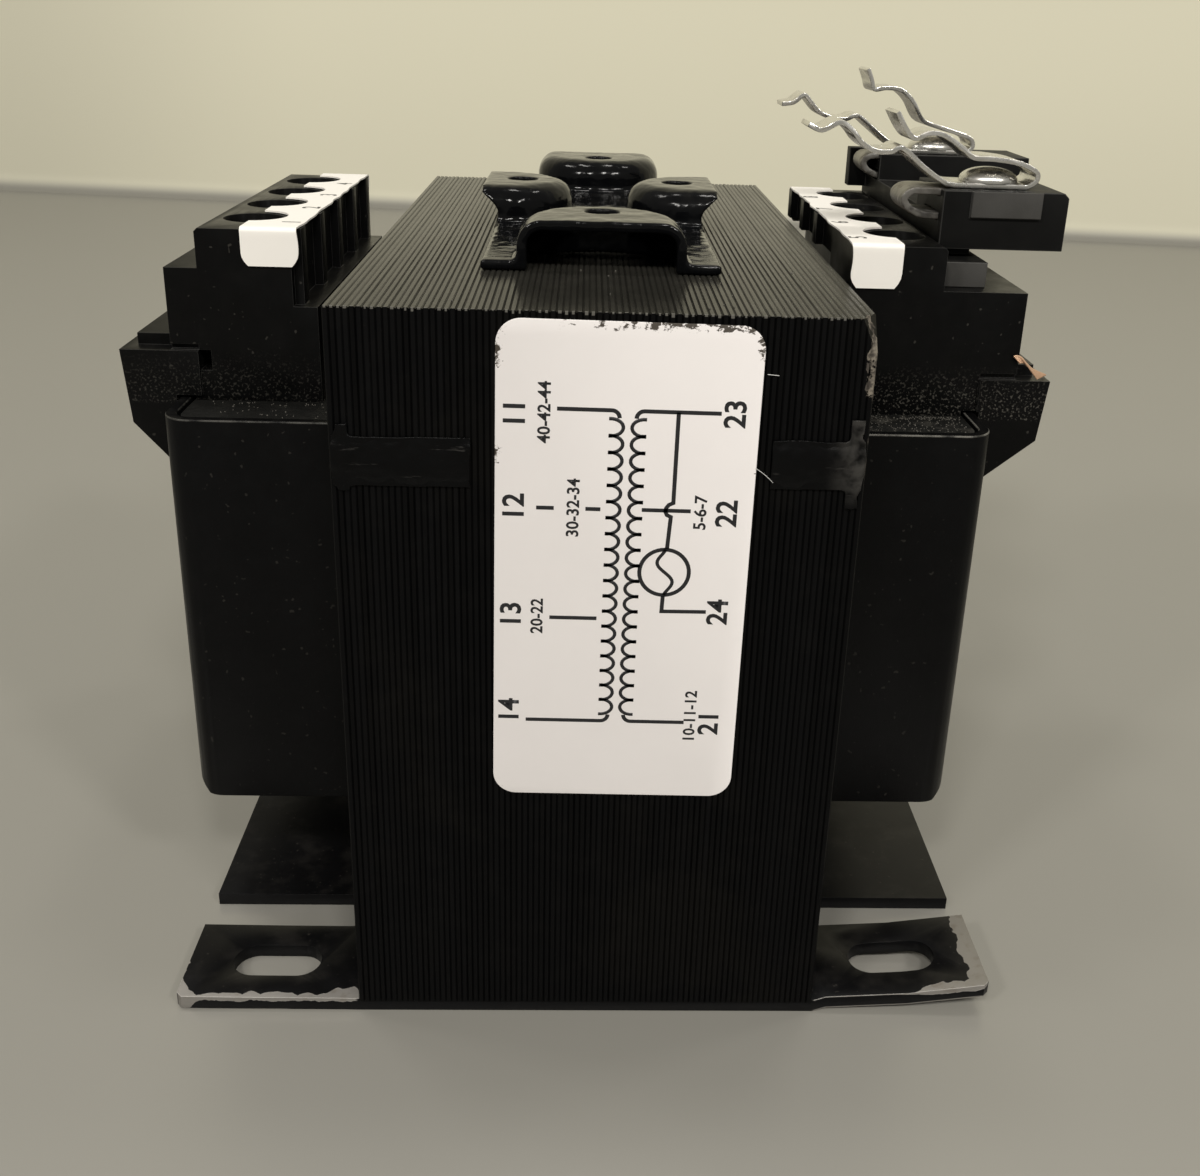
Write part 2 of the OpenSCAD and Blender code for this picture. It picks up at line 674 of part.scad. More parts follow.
// Path of the front clip in X and Z, from the tip of the lower jaw to the tip of the upper jaw,
// measured from the pad's inner end and the middle of the sheet that lies on it.
front_path = smooth([
    [-15.5, 6.2], [-14, 5.6], [-12, 6.5], [-10.6, 5.7], [-9.3, 4.3], [-7.6, 3.5], [-6, 3.5],
    [-4.7, 3.9], [-2.1, 1.9], [0.3, 0.35], [1.4, 0.06], [2.8, 0], [6.2, 0], [9.2, 0],
    [10, 0.06], [10.9, 0.7], [10.8, 1.7], [8.8, 2.6], [5.8, 3], [3.5, 3.1], [2.2, 4],
    [-0.1, 5.4], [-1.9, 5.6], [-3.4, 5], [-4.5, 5.9], [-5.7, 7.8]], 5);
// Path of the rear clip, bent more open.
rear_path = smooth([
    [-13.8, 5.7], [-12.2, 6], [-10.9, 7], [-9.9, 6.1], [-8.6, 4.8], [-6.8, 4.1], [-5, 4],
    [-3.4, 4.5], [-1.4, 3.1], [1, 1.3], [2.5, 0.45], [3.6, 0.06], [4.8, 0], [8.2, 0],
    [11.2, 0], [12, 0.06], [12.9, 0.8], [12.5, 1.9], [10.6, 2.6], [8, 3.3], [5.6, 4.2],
    [4, 6.6], [2.2, 8], [0.2, 8.2], [-1.4, 8], [-1.9, 9.2], [-2.5, 10.6]], 5);
// Path of a tinned strap from under a clip, round the pad's inner end and back into its slot,
// measured from the pad's inner end and top.
strap_in = -strap_t / 2 - 0.05;
link_path = smooth([
    [8.8, strap_in], [4, strap_in], [0.4, strap_in], [-1.8, strap_in + 0.1],
    [-3.3, strap_in - 0.05], [-4, -1.3], [-3.5, -2.2], [-2.2, 0.2 - strap_turn],
    [-0.7, -strap_turn], [0.4, -strap_turn], [1.6, -strap_turn]], 4);

module front_fuse_clip() {
    color([0.78, 0.77, 0.74]) difference() {
        bent_strip(moved(front_path, [fuse_x0, clip_z_front]), clip_t, front_clip_y, clip_w);
        translate([rivet_front[0], rivet_front[1], pad_z - 1]) cylinder(d = 3.3, h = 2.2);
    }
}

module rear_fuse_clip() {
    color([0.78, 0.77, 0.74]) difference() {
        bent_strip(moved(rear_path, [fuse_x0, clip_z_rear]), clip_t, rear_clip_y, clip_w);
        translate([rivet_rear[0], rivet_rear[1], rear_pad_z - 1]) cylinder(d = 3.3, h = 2.2);
    }
}

module rivet(z) {
    intersection() {
        translate([0, 0, z - 2.6]) sphere(r = 4.2);
        translate([-5, -5, z]) cube([10, 10, 5]);
    }
    translate([0, 0, fuse_z0 + 0.2]) cylinder(d = 2.9, h = z - fuse_z0 + 0.3);
}

module fuse_clip_rivets() {
    color([0.82, 0.81, 0.78]) {
        translate([rivet_front[0], rivet_front[1], 0]) rivet(pad_z + clip_t + 0.08);
        translate([rivet_rear[0], rivet_rear[1], 0]) rivet(rear_pad_z + clip_t + 0.08);
    }
}

module fuse_link_straps() {
    color([0.62, 0.6, 0.55]) difference() {
        union() {
            bent_strip(moved(link_path, [fuse_x0, pad_z]), strap_t, front_clip_y - 0.1, strap_w);
            bent_strip(moved(link_path, [fuse_x0 + rear_strap_dx, rear_pad_z]), strap_t,
                rear_clip_y - 0.1, strap_w);
        }
        for (r = [rivet_front, rivet_rear])
            translate([r[0], r[1], pad_z - 1.6]) cylinder(d = 3.3, h = 4);
    }
}

e_laminations();
i_laminations();
core_weld_beads();
mounting_plate();
accessory_plate();
coil_former();
primary_winding();
winding_insulation();
secondary_winding();
coil_wrap();
primary_coil_cover();
secondary_coil_cover();
primary_terminal_block();
secondary_terminal_block();
primary_terminal_screws();
secondary_terminal_screws();
primary_wire_cages();
secondary_wire_cages();
primary_marker_strip();
secondary_marker_strip();
wiring_label();
fuse_block();
front_fuse_clip();
rear_fuse_clip();
fuse_clip_rivets();
fuse_link_straps();
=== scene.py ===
"""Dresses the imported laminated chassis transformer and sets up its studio.

Sizes in this script are millimetres in the row's frame, and MM turns them into Blender's metres.
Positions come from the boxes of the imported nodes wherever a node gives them.
"""

import logging
import math
from collections.abc import Callable, Sequence
from dataclasses import dataclass
from enum import Enum

import bmesh
import bpy
from mathutils import Matrix, Vector, noise

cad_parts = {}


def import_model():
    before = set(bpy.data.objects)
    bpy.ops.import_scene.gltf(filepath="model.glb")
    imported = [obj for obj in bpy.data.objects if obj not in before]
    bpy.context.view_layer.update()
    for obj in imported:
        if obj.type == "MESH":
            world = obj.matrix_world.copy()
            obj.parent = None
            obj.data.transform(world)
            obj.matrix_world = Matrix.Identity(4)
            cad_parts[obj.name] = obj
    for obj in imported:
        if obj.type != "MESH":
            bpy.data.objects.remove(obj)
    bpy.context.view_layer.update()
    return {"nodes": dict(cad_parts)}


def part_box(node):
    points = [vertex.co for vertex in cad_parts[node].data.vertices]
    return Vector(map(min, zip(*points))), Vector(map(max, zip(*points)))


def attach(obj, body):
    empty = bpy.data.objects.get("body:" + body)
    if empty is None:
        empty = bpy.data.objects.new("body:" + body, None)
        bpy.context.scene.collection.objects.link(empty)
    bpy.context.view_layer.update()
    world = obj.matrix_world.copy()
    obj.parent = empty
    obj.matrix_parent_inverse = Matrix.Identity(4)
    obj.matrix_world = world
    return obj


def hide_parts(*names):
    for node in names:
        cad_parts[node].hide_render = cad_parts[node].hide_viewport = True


MM = 0.001
BODY = "root"
SIDE_CHANGE = 4.0
LOG = logging.getLogger("transformer")
Value = float | int | Sequence[float] | bpy.types.NodeSocket
Colour = tuple[float, float, float]


class Side(Enum):
    """The two terminal sides of the transformer."""

    PRIMARY = -1
    SECONDARY = 1


class Gloss(Enum):
    """How wet a black surface looks, as its roughness."""

    DULL = 0.5
    SATIN = 0.33
    WET = 0.11


# ---- node trees ----------------------------------------------------------------------------


class ShaderTree:
    """Adds and links the nodes of one shader tree.

    Args:
        tree: the node tree that the nodes go into.
    """

    def __init__(self, tree: bpy.types.NodeTree) -> None:
        """Keep the tree."""
        self.tree = tree

    def feed(self, socket: bpy.types.NodeSocket, value: Value) -> None:
        """Give a socket a link or a plain value.

        Args:
            socket: the input to feed.
            value: a socket to link from, or the value to set.
        """
        if isinstance(value, bpy.types.NodeSocket):
            self.tree.links.new(value, socket)
        else:
            socket.default_value = value

    def add(self, kind: str, inputs: dict[str | int, Value] | None = None, **settings: object) -> bpy.types.Node:
        """Add one node.

        Args:
            kind: the node's type name.
            inputs: input names or indices with what they take.
            **settings: the node's own properties.

        Returns:
            The new node.
        """
        node = self.tree.nodes.new(kind)
        for key, value in settings.items():
            setattr(node, key, value)
        for key, value in (inputs or {}).items():
            self.feed(node.inputs[key], value)
        return node

    def math(self, operation: str, *values: Value, clamp: bool = False) -> bpy.types.NodeSocket:
        """Add one Math node.

        Args:
            operation: the node's operation.
            *values: its operands.
            clamp: whether the result stays between 0 and 1.

        Returns:
            The result.
        """
        node = self.add("ShaderNodeMath", dict(enumerate(values)), operation=operation, use_clamp=clamp)
        return node.outputs[0]

    def total(self, *values: Value) -> bpy.types.NodeSocket:
        """Add up any number of values.

        Args:
            *values: the values, at least one.

        Returns:
            Their sum.
        """
        result = values[0]
        for value in values[1:]:
            result = self.math("ADD", result, value)
        return result

    def mix(self, factor: Value, low: Value, high: Value) -> bpy.types.NodeSocket:
        """Mix two colours.

        Args:
            factor: 0 gives low and 1 gives high.
            low: the first colour, as a socket or as red, green and blue.
            high: the second colour.

        Returns:
            The mixed colour.
        """
        node = self.add("ShaderNodeMix", data_type="RGBA")
        self.feed(node.inputs[0], factor)
        for index, colour in ((6, low), (7, high)):
            self.feed(node.inputs[index], colour if isinstance(colour, bpy.types.NodeSocket) else (*colour, 1.0))
        return node.outputs[2]

    def blend(self, factor: Value, low: Value, high: Value) -> bpy.types.NodeSocket:
        """Mix two plain values, such as two roughnesses."""
        node = self.add("ShaderNodeMix", {0: factor, 2: low, 3: high}, data_type="FLOAT")
        return node.outputs[0]

    def rise(self, value: Value, start: float, end: float) -> bpy.types.NodeSocket:
        """Turn a value into a soft step from 0 at start to 1 at end.

        Args:
            value: the value that changes over the surface.
            start: where the step begins.
            end: where the step is complete. It may be below start.

        Returns:
            The step, from 0 to 1.
        """
        flip = end < start
        low, high = (end, start) if flip else (start, end)
        node = self.add(
            "ShaderNodeMapRange",
            {"Value": value, "From Min": low, "From Max": high, "To Min": float(flip), "To Max": float(not flip)},
            interpolation_type="SMOOTHSTEP",
            clamp=True,
        )
        return node.outputs[0]

    def secondary(self, x: bpy.types.NodeSocket) -> bpy.types.NodeSocket:
        """Give 0 on the primary side and 1 on the secondary side, with a soft change at the middle."""
        return self.rise(x, -SIDE_CHANGE, SIDE_CHANGE)

    def place(self) -> bpy.types.NodeSocket:
        """Give the place on the object, in millimetres."""
        coordinates = self.add("ShaderNodeTexCoord").outputs["Object"]
        scaled = self.add("ShaderNodeVectorMath", {0: coordinates, "Scale": 1 / MM}, operation="SCALE")
        return scaled.outputs[0]

    def axes(self, vector: bpy.types.NodeSocket) -> list[bpy.types.NodeSocket]:
        """Split a vector into its three parts."""
        return list(self.add("ShaderNodeSeparateXYZ", {0: vector}).outputs)

    def facing(self) -> list[bpy.types.NodeSocket]:
        """Give the three parts of the surface's outward direction."""
        return self.axes(self.add("ShaderNodeNewGeometry").outputs["True Normal"])

    def grain(self, vector: Value, size: Value, detail: float = 3.0, rough: float = 0.55) -> bpy.types.NodeSocket:
        """Add a noise pattern.

        Args:
            vector: the place in millimetres.
            size: how many features a millimetre holds.
            detail: the number of finer layers.
            rough: how strong the finer layers are.

        Returns:
            The pattern, around 0.5.
        """
        inputs = {"Vector": vector, "Scale": size, "Detail": detail, "Roughness": rough}
        return self.add("ShaderNodeTexNoise", inputs).outputs[0]

    def stretched(self, vector: Value, shares: Sequence[float]) -> bpy.types.NodeSocket:
        """Scale a place by a factor for each axis, so that a pattern runs along one of them."""
        return self.add("ShaderNodeVectorMath", {0: vector, 1: tuple(shares)}, operation="MULTIPLY").outputs[0]


class GeometryTree:
    """One Geometry Nodes tree with named inputs, which becomes a plain mesh.

    Args:
        name: the tree's name.
    """

    KINDS = {
        float: "NodeSocketFloat",
        int: "NodeSocketInt",
        tuple: "NodeSocketVector",
        bpy.types.Material: "NodeSocketMaterial",
    }

    def __init__(self, name: str) -> None:
        """Make the tree with its geometry input and output."""
        self.tree = bpy.data.node_groups.new(name, "GeometryNodeTree")
        self.tree.interface.new_socket("Geometry", in_out="INPUT", socket_type="NodeSocketGeometry")
        self.tree.interface.new_socket("Geometry", in_out="OUTPUT", socket_type="NodeSocketGeometry")
        self.source = self.tree.nodes.new("NodeGroupInput")
        self.target = self.tree.nodes.new("NodeGroupOutput")
        self.values: dict[str, object] = {}

    def size(self, name: str, value: object) -> bpy.types.NodeSocket:
        """Add a named input.

        Args:
            name: the input's name.
            value: what the input is set to.

        Returns:
            The socket that gives it inside the tree.
        """
        kind = self.KINDS[type(value)]
        item = self.tree.interface.new_socket(name, in_out="INPUT", socket_type=kind)
        self.values[item.identifier] = value
        return self.source.outputs[name]

    def add(self, kind: str, inputs: dict[str | int, Value] | None = None, **settings: object) -> bpy.types.Node:
        """Add one node, as in a shader tree."""
        return ShaderTree(self.tree).add(kind, inputs, **settings)

    def scatter(self, seed: int, low: Sequence[float], high: Sequence[float]) -> bpy.types.NodeSocket:
        """Give each element its own random vector.

        Args:
            seed: the seed of the draw.
            low: the smallest value of each part.
            high: the largest value of each part.

        Returns:
            The vector, which differs from element to element.
        """
        node = self.add("FunctionNodeRandomValue", data_type="FLOAT_VECTOR")
        node.inputs[0].default_value = tuple(low)
        node.inputs[1].default_value = tuple(high)
        node.inputs["Seed"].default_value = seed
        return node.outputs[0]

    def finish(self, geometry: bpy.types.NodeSocket, material: bpy.types.Material) -> None:
        """End the tree in Realize Instances and Set Material.

        Args:
            geometry: the geometry that the tree has made.
            material: the material of all of it.
        """
        realized = self.add("GeometryNodeRealizeInstances", {"Geometry": geometry})
        finish = self.size("Finish", material)
        dressed = self.add("GeometryNodeSetMaterial", {"Geometry": realized.outputs[0], "Material": finish})
        self.tree.links.new(dressed.outputs[0], self.target.inputs[0])

    def bake(self, name: str, base: bpy.types.Mesh) -> bpy.types.Object:
        """Run the tree on a mesh and keep the result as a plain mesh.

        Args:
            name: the name of the finished piece.
            base: the mesh that the tree starts from.

        Returns:
            The finished piece.
        """
        holder = bpy.data.objects.new(f"{name}_source", base)
        bpy.context.scene.collection.objects.link(holder)
        modifier = holder.modifiers.new("Nodes", "NODES")
        modifier.node_group = self.tree
        for identifier, value in self.values.items():
            modifier[identifier] = value
        graph = bpy.context.evaluated_depsgraph_get()
        mesh = bpy.data.meshes.new_from_object(holder.evaluated_get(graph), depsgraph=graph)
        bpy.data.objects.remove(holder)
        return link(name, mesh)


# ---- mesh steps ----------------------------------------------------------------------------


def link(name: str, mesh: bpy.types.Mesh) -> bpy.types.Object:
    """Put a mesh into the scene.

    Args:
        name: the object's name.
        mesh: its mesh.

    Returns:
        The new object.
    """
    mesh.name = name
    made = bpy.data.objects.new(name, mesh)
    bpy.context.scene.collection.objects.link(made)
    return made


def from_bmesh(name: str, shape: bmesh.types.BMesh) -> bpy.types.Object:
    """Turn a bmesh into an object and free the bmesh.

    Args:
        name: the object's name.
        shape: the bmesh, which is used up.

    Returns:
        The new object.
    """
    mesh = bpy.data.meshes.new(name)
    shape.to_mesh(mesh)
    shape.free()
    return link(name, mesh)


def settle(made: bpy.types.Object) -> bpy.types.Object:
    """Apply an object's modifiers to its mesh.

    Args:
        made: the object.

    Returns:
        The same object, with a plain mesh and no modifiers.
    """
    graph = bpy.context.evaluated_depsgraph_get()
    mesh = bpy.data.meshes.new_from_object(made.evaluated_get(graph), depsgraph=graph)
    made.modifiers.clear()
    made.data = mesh
    mesh.name = made.name
    return made


def soften_shading(made: bpy.types.Object, angle: float = 35.0) -> bpy.types.Object:
    """Shade an object smooth, with sharp edges where faces meet at more than an angle in degrees."""
    made.data.shade_smooth()
    made.data.set_sharp_from_angle(angle=math.radians(angle))
    return made


def dress(made: bpy.types.Object, *materials: bpy.types.Material) -> bpy.types.Object:
    """Give an object its materials.

    Args:
        made: the object.
        *materials: the materials in slot order.

    Returns:
        The same object.
    """
    made.data.materials.clear()
    for material in materials:
        made.data.materials.append(material)
    return made


def clean_copy(source: bpy.types.Object, name: str, dissolve: float = 0.6) -> bpy.types.Object:
    """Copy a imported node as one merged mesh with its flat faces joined.

    Args:
        source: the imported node's object.
        name: the copy's name.
        dissolve: the angle in degrees below which neighbouring faces are joined.

    Returns:
        The copy.
    """
    shape = bmesh.new()
    shape.from_mesh(source.data)
    bmesh.ops.remove_doubles(shape, verts=shape.verts, dist=0.002 * MM)
    if dissolve:
        bmesh.ops.dissolve_limit(
            shape,
            angle_limit=math.radians(dissolve),
            verts=shape.verts,
            edges=shape.edges,
            use_dissolve_boundaries=False,
        )
    return from_bmesh(name, shape)


def round_edges(made: bpy.types.Object, width: float, segments: int = 2, rubbed_highlight_slot: int = -1) -> bpy.types.Object:
    """Round an object's edges.

    Args:
        made: the object.
        width: the width of the rounding in millimetres.
        segments: the number of faces across it.
        rubbed_highlight_slot: the material slot of the rounded edges, or -1 for that of their neighbours.

    Returns:
        The same object.
    """
    bevel = made.modifiers.new("Rounding", "BEVEL")
    bevel.width = width * MM
    bevel.segments = segments
    bevel.limit_method = "ANGLE"
    bevel.angle_limit = math.radians(32)
    bevel.use_clamp_overlap = True
    bevel.material = rubbed_highlight_slot
    bevel.harden_normals = True
    made.data.shade_smooth()
    return settle(made)


def swell(made: bpy.types.Object, reach: Callable[[Vector], float]) -> bpy.types.Object:
    """Move each point of a mesh along its normal.

    Args:
        made: the object.
        reach: gives the way to move, in millimetres, for a place in millimetres.

    Returns:
        The same object.
    """
    moves = [reach(vertex.co / MM) * MM for vertex in made.data.vertices]
    normals = [vertex.normal.copy() for vertex in made.data.vertices]
    for vertex, normal, move in zip(made.data.vertices, normals, moves):
        vertex.co = vertex.co + normal * move
    made.data.update()
    return made


def flow(made: bpy.types.Object, voxel: float, passes: int) -> bpy.types.Object:
    """Melt a closed shape into one skin with flowing corners, as thick varnish or a weld leaves it.

    Args:
        made: the object.
        voxel: the size of the new faces in millimetres.
        passes: how often the skin is evened out.

    Returns:
        The same object.
    """
    skin = made.modifiers.new("Skin", "REMESH")
    skin.mode = "VOXEL"
    skin.voxel_size = voxel * MM
    even = made.modifiers.new("Even", "SMOOTH")
    even.factor = 0.5
    even.iterations = passes
    settle(made)
    made.data.shade_smooth()
    return made


def lathe(name: str, profile: Sequence[tuple[float, float]], steps: int = 48) -> bpy.types.Object:
    """Turn a profile round the Z axis.

    Args:
        name: the object's name.
        profile: points of (radius, height) in millimetres, from the bottom up.
        steps: the number of faces round the axis.

    Returns:
        The turned shape, closed at its ends on the axis.
    """
    shape = bmesh.new()
    turns = [2 * math.pi * k / steps for k in range(steps)]
    rings = []
    for radius, height in profile:
        spots = [Vector((radius * math.cos(a), radius * math.sin(a), height)) * MM for a in turns]
        rings.append([shape.verts.new(spot) for spot in spots])
    for low, high in zip(rings, rings[1:]):
        for k in range(steps):
            shape.faces.new((low[k], low[(k + 1) % steps], high[(k + 1) % steps], high[k]))
    shape.faces.new(list(reversed(rings[0])))
    shape.faces.new(rings[-1])
    bmesh.ops.remove_doubles(shape, verts=shape.verts, dist=0.001 * MM)
    bmesh.ops.recalc_face_normals(shape, faces=shape.faces)
    return from_bmesh(name, shape)


def join(name: str, pieces: Sequence[bpy.types.Object]) -> bpy.types.Object:
    """Join objects into one piece that keeps their materials.

    Args:
        name: the piece's name.
        pieces: the objects, which are used up.

    Returns:
        The joined piece.
    """
    materials: list[bpy.types.Material] = []
    shape = bmesh.new()
    for piece in pieces:
        start = len(shape.faces)
        shape.from_mesh(piece.data)
        shape.faces.ensure_lookup_table()
        own = list(piece.data.materials)
        for material in own:
            if material not in materials:
                materials.append(material)
        for face in shape.faces[start:]:
            if own:
                face.material_index = materials.index(own[min(face.material_index, len(own) - 1)])
        bpy.data.objects.remove(piece)
    joined = from_bmesh(name, shape)
    return dress(joined, *materials)


def ride(made: bpy.types.Object, slot: str, *nodes: str) -> bpy.types.Object:
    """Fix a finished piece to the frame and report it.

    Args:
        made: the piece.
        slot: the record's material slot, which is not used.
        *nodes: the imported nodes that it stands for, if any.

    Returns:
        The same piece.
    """
    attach(made, BODY)
    if nodes:
        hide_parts(*nodes)
    LOG.info("%s: %d faces, for %s", made.name, len(made.data.polygons), ", ".join(nodes) or "itself")
    return made


@dataclass(frozen=True)
class Box:
    """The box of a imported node, in millimetres."""

    low: Vector
    high: Vector

    @classmethod
    def of(cls, node: str) -> "Box":
        """Read a node's box from the frame."""
        low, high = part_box(node)
        return cls(low / MM, high / MM)

    @property
    def middle(self) -> Vector:
        """Give the box's centre."""
        return (self.low + self.high) / 2

    @property
    def size(self) -> Vector:
        """Give the box's three lengths."""
        return self.high - self.low


# ---- effects that several finishes share -----------------------------------------------------


class Effect:
    """A shader node group that is built once and placed with its own values in each finish."""

    name = "effect"
    inputs: dict[str, float] = {}
    outputs: tuple[str, ...] = ("Mask",)

    @classmethod
    def wire(cls, tree: ShaderTree, sizes: dict[str, bpy.types.NodeSocket]) -> dict[str, bpy.types.NodeSocket]:
        """Build the inside of the group.

        Args:
            tree: the group's own tree.
            sizes: the group's inputs by name.

        Returns:
            The sockets that feed its outputs, by name.
        """
        raise NotImplementedError

    @classmethod
    def group(cls) -> bpy.types.NodeTree:
        """Give the node group, built on first use.

        Returns:
            The group, shared by all finishes.
        """
        made = bpy.data.node_groups.get(cls.name)
        if made:
            return made
        made = bpy.data.node_groups.new(cls.name, "ShaderNodeTree")
        for name, value in cls.inputs.items():
            item = made.interface.new_socket(name, in_out="INPUT", socket_type="NodeSocketFloat")
            item.default_value = value
        for name in cls.outputs:
            made.interface.new_socket(name, in_out="OUTPUT", socket_type="NodeSocketFloat")
        tree = ShaderTree(made)
        source = tree.add("NodeGroupInput")
        target = tree.add("NodeGroupOutput")
        sizes = {name: source.outputs[name] for name in cls.inputs}
        for name, socket in cls.wire(tree, sizes).items():
            tree.feed(target.inputs[name], socket)
        return made

    @classmethod
    def on(cls, tree: ShaderTree, **values: Value) -> bpy.types.NodeSocket:
        """Place the group in a finish.

        Args:
            tree: the finish's tree.
            **values: the group's inputs.

        Returns:
            The group's first output.
        """
        node = tree.add("ShaderNodeGroup", node_tree=cls.group())
        for name, value in values.items():
            tree.feed(node.inputs[name], value)
        return node.outputs[0]


class Dust(Effect):
    """Dust and crumbs that settle on faces that look up."""

    name = "settled_dust"
    inputs = {"Amount": 0.5, "Size": 1.0}

    @classmethod
    def wire(cls, tree: ShaderTree, sizes: dict[str, bpy.types.NodeSocket]) -> dict[str, bpy.types.NodeSocket]:
        """Mix a cloudy film with sparse crumbs, both stronger on upward faces."""
        place = tree.place()
        up = tree.rise(tree.facing()[2], 0.2, 0.9)
        film = tree.rise(tree.grain(place, tree.math("MULTIPLY", sizes["Size"], 0.35), 4.0), 0.45, 0.75)
        crumbs = tree.rise(tree.grain(place, tree.math("MULTIPLY", sizes["Size"], 2.6), 2.0), 0.68, 0.76)
        film_part = tree.math("MULTIPLY", film, 0.45)
        shown = tree.total(film_part, crumbs)
        lifted = tree.blend(up, 0.12, 1.0)
        mask = tree.math("MULTIPLY", tree.math("MULTIPLY", shown, lifted), sizes["Amount"], clamp=True)
        return {"Mask": mask}


class Relief(Effect):
    """A height that mixes broad waves with a fine grain."""

    name = "surface_relief"
    inputs = {"Waves": 0.3, "Grain": 4.0, "Share": 0.3}
    outputs = ("Height",)

    @classmethod
    def wire(cls, tree: ShaderTree, sizes: dict[str, bpy.types.NodeSocket]) -> dict[str, bpy.types.NodeSocket]:
        """Blend the two noises."""
        place = tree.place()
        waves = tree.grain(place, sizes["Waves"], 2.0)
        fine = tree.grain(place, sizes["Grain"], 3.0)
        return {"Height": tree.blend(sizes["Share"], waves, fine)}


class Flakes(Effect):
    """Where paint has flaked off along an edge with a ragged border."""

    name = "flaked_paint"
    inputs = {"Distance": 10.0, "Reach": 1.0, "Ragged": 1.0}

    @classmethod
    def wire(cls, tree: ShaderTree, sizes: dict[str, bpy.types.NodeSocket]) -> dict[str, bpy.types.NodeSocket]:
        """Compare the distance to the edge with a reach that wanders."""
        place = tree.place()
        broad = tree.math("SUBTRACT", tree.grain(place, 0.32, 2.0), 0.5)
        fine = tree.math("SUBTRACT", tree.grain(place, 1.3, 3.0), 0.5)
        wander = tree.math("MULTIPLY", tree.math("ADD", tree.math("MULTIPLY", broad, 4.0), fine), sizes["Ragged"])
        limit = tree.math("ADD", sizes["Reach"], wander)
        gap = tree.math("SUBTRACT", limit, sizes["Distance"])
        return {"Mask": tree.rise(gap, -0.02, 0.06)}


class Smears(Effect):
    """Cloudy unevenness for gloss and tone, around 0.5."""

    name = "smears"
    inputs = {"Size": 0.5}
    outputs = ("Cloud",)

    @classmethod
    def wire(cls, tree: ShaderTree, sizes: dict[str, bpy.types.NodeSocket]) -> dict[str, bpy.types.NodeSocket]:
        """Use one soft noise with some detail."""
        return {"Cloud": tree.grain(tree.place(), sizes["Size"], 5.0, 0.6)}


# ---- finishes --------------------------------------------------------------------------------


@dataclass(frozen=True)
class Finish:
    """One material of the transformer.

    Args:
        name: the material's name.
    """

    name: str

    def build(self) -> bpy.types.Material:
        """Give the material, built on first use.

        Returns:
            The material, shared by all pieces of this finish.
        """
        made = bpy.data.materials.get(self.name)
        if made:
            return made
        made = bpy.data.materials.new(self.name)
        made.use_nodes = True
        made.node_tree.nodes.clear()
        tree = ShaderTree(made.node_tree)
        shader = tree.add("ShaderNodeBsdfPrincipled")
        output = tree.add("ShaderNodeOutputMaterial")
        tree.feed(output.inputs["Surface"], shader.outputs[0])
        self.wire(tree, shader)
        return made

    def wire(self, tree: ShaderTree, shader: bpy.types.Node) -> None:
        """Feed the shader.

        Args:
            tree: the material's tree.
            shader: its Principled BSDF.
        """
        raise NotImplementedError

    @staticmethod
    def bump(tree: ShaderTree, shader: bpy.types.Node, height: Value, depth: float, strength: float = 1.0) -> None:
        """Feed the shader's normal from a height.

        Args:
            tree: the material's tree.
            shader: its Principled BSDF.
            height: the height, from 0 to 1.
            depth: what a height of 1 means, in millimetres.
            strength: how much of the bump shows.
        """
        inputs = {"Height": height, "Distance": depth * MM, "Strength": strength}
        tree.feed(shader.inputs["Normal"], tree.add("ShaderNodeBump", inputs).outputs[0])


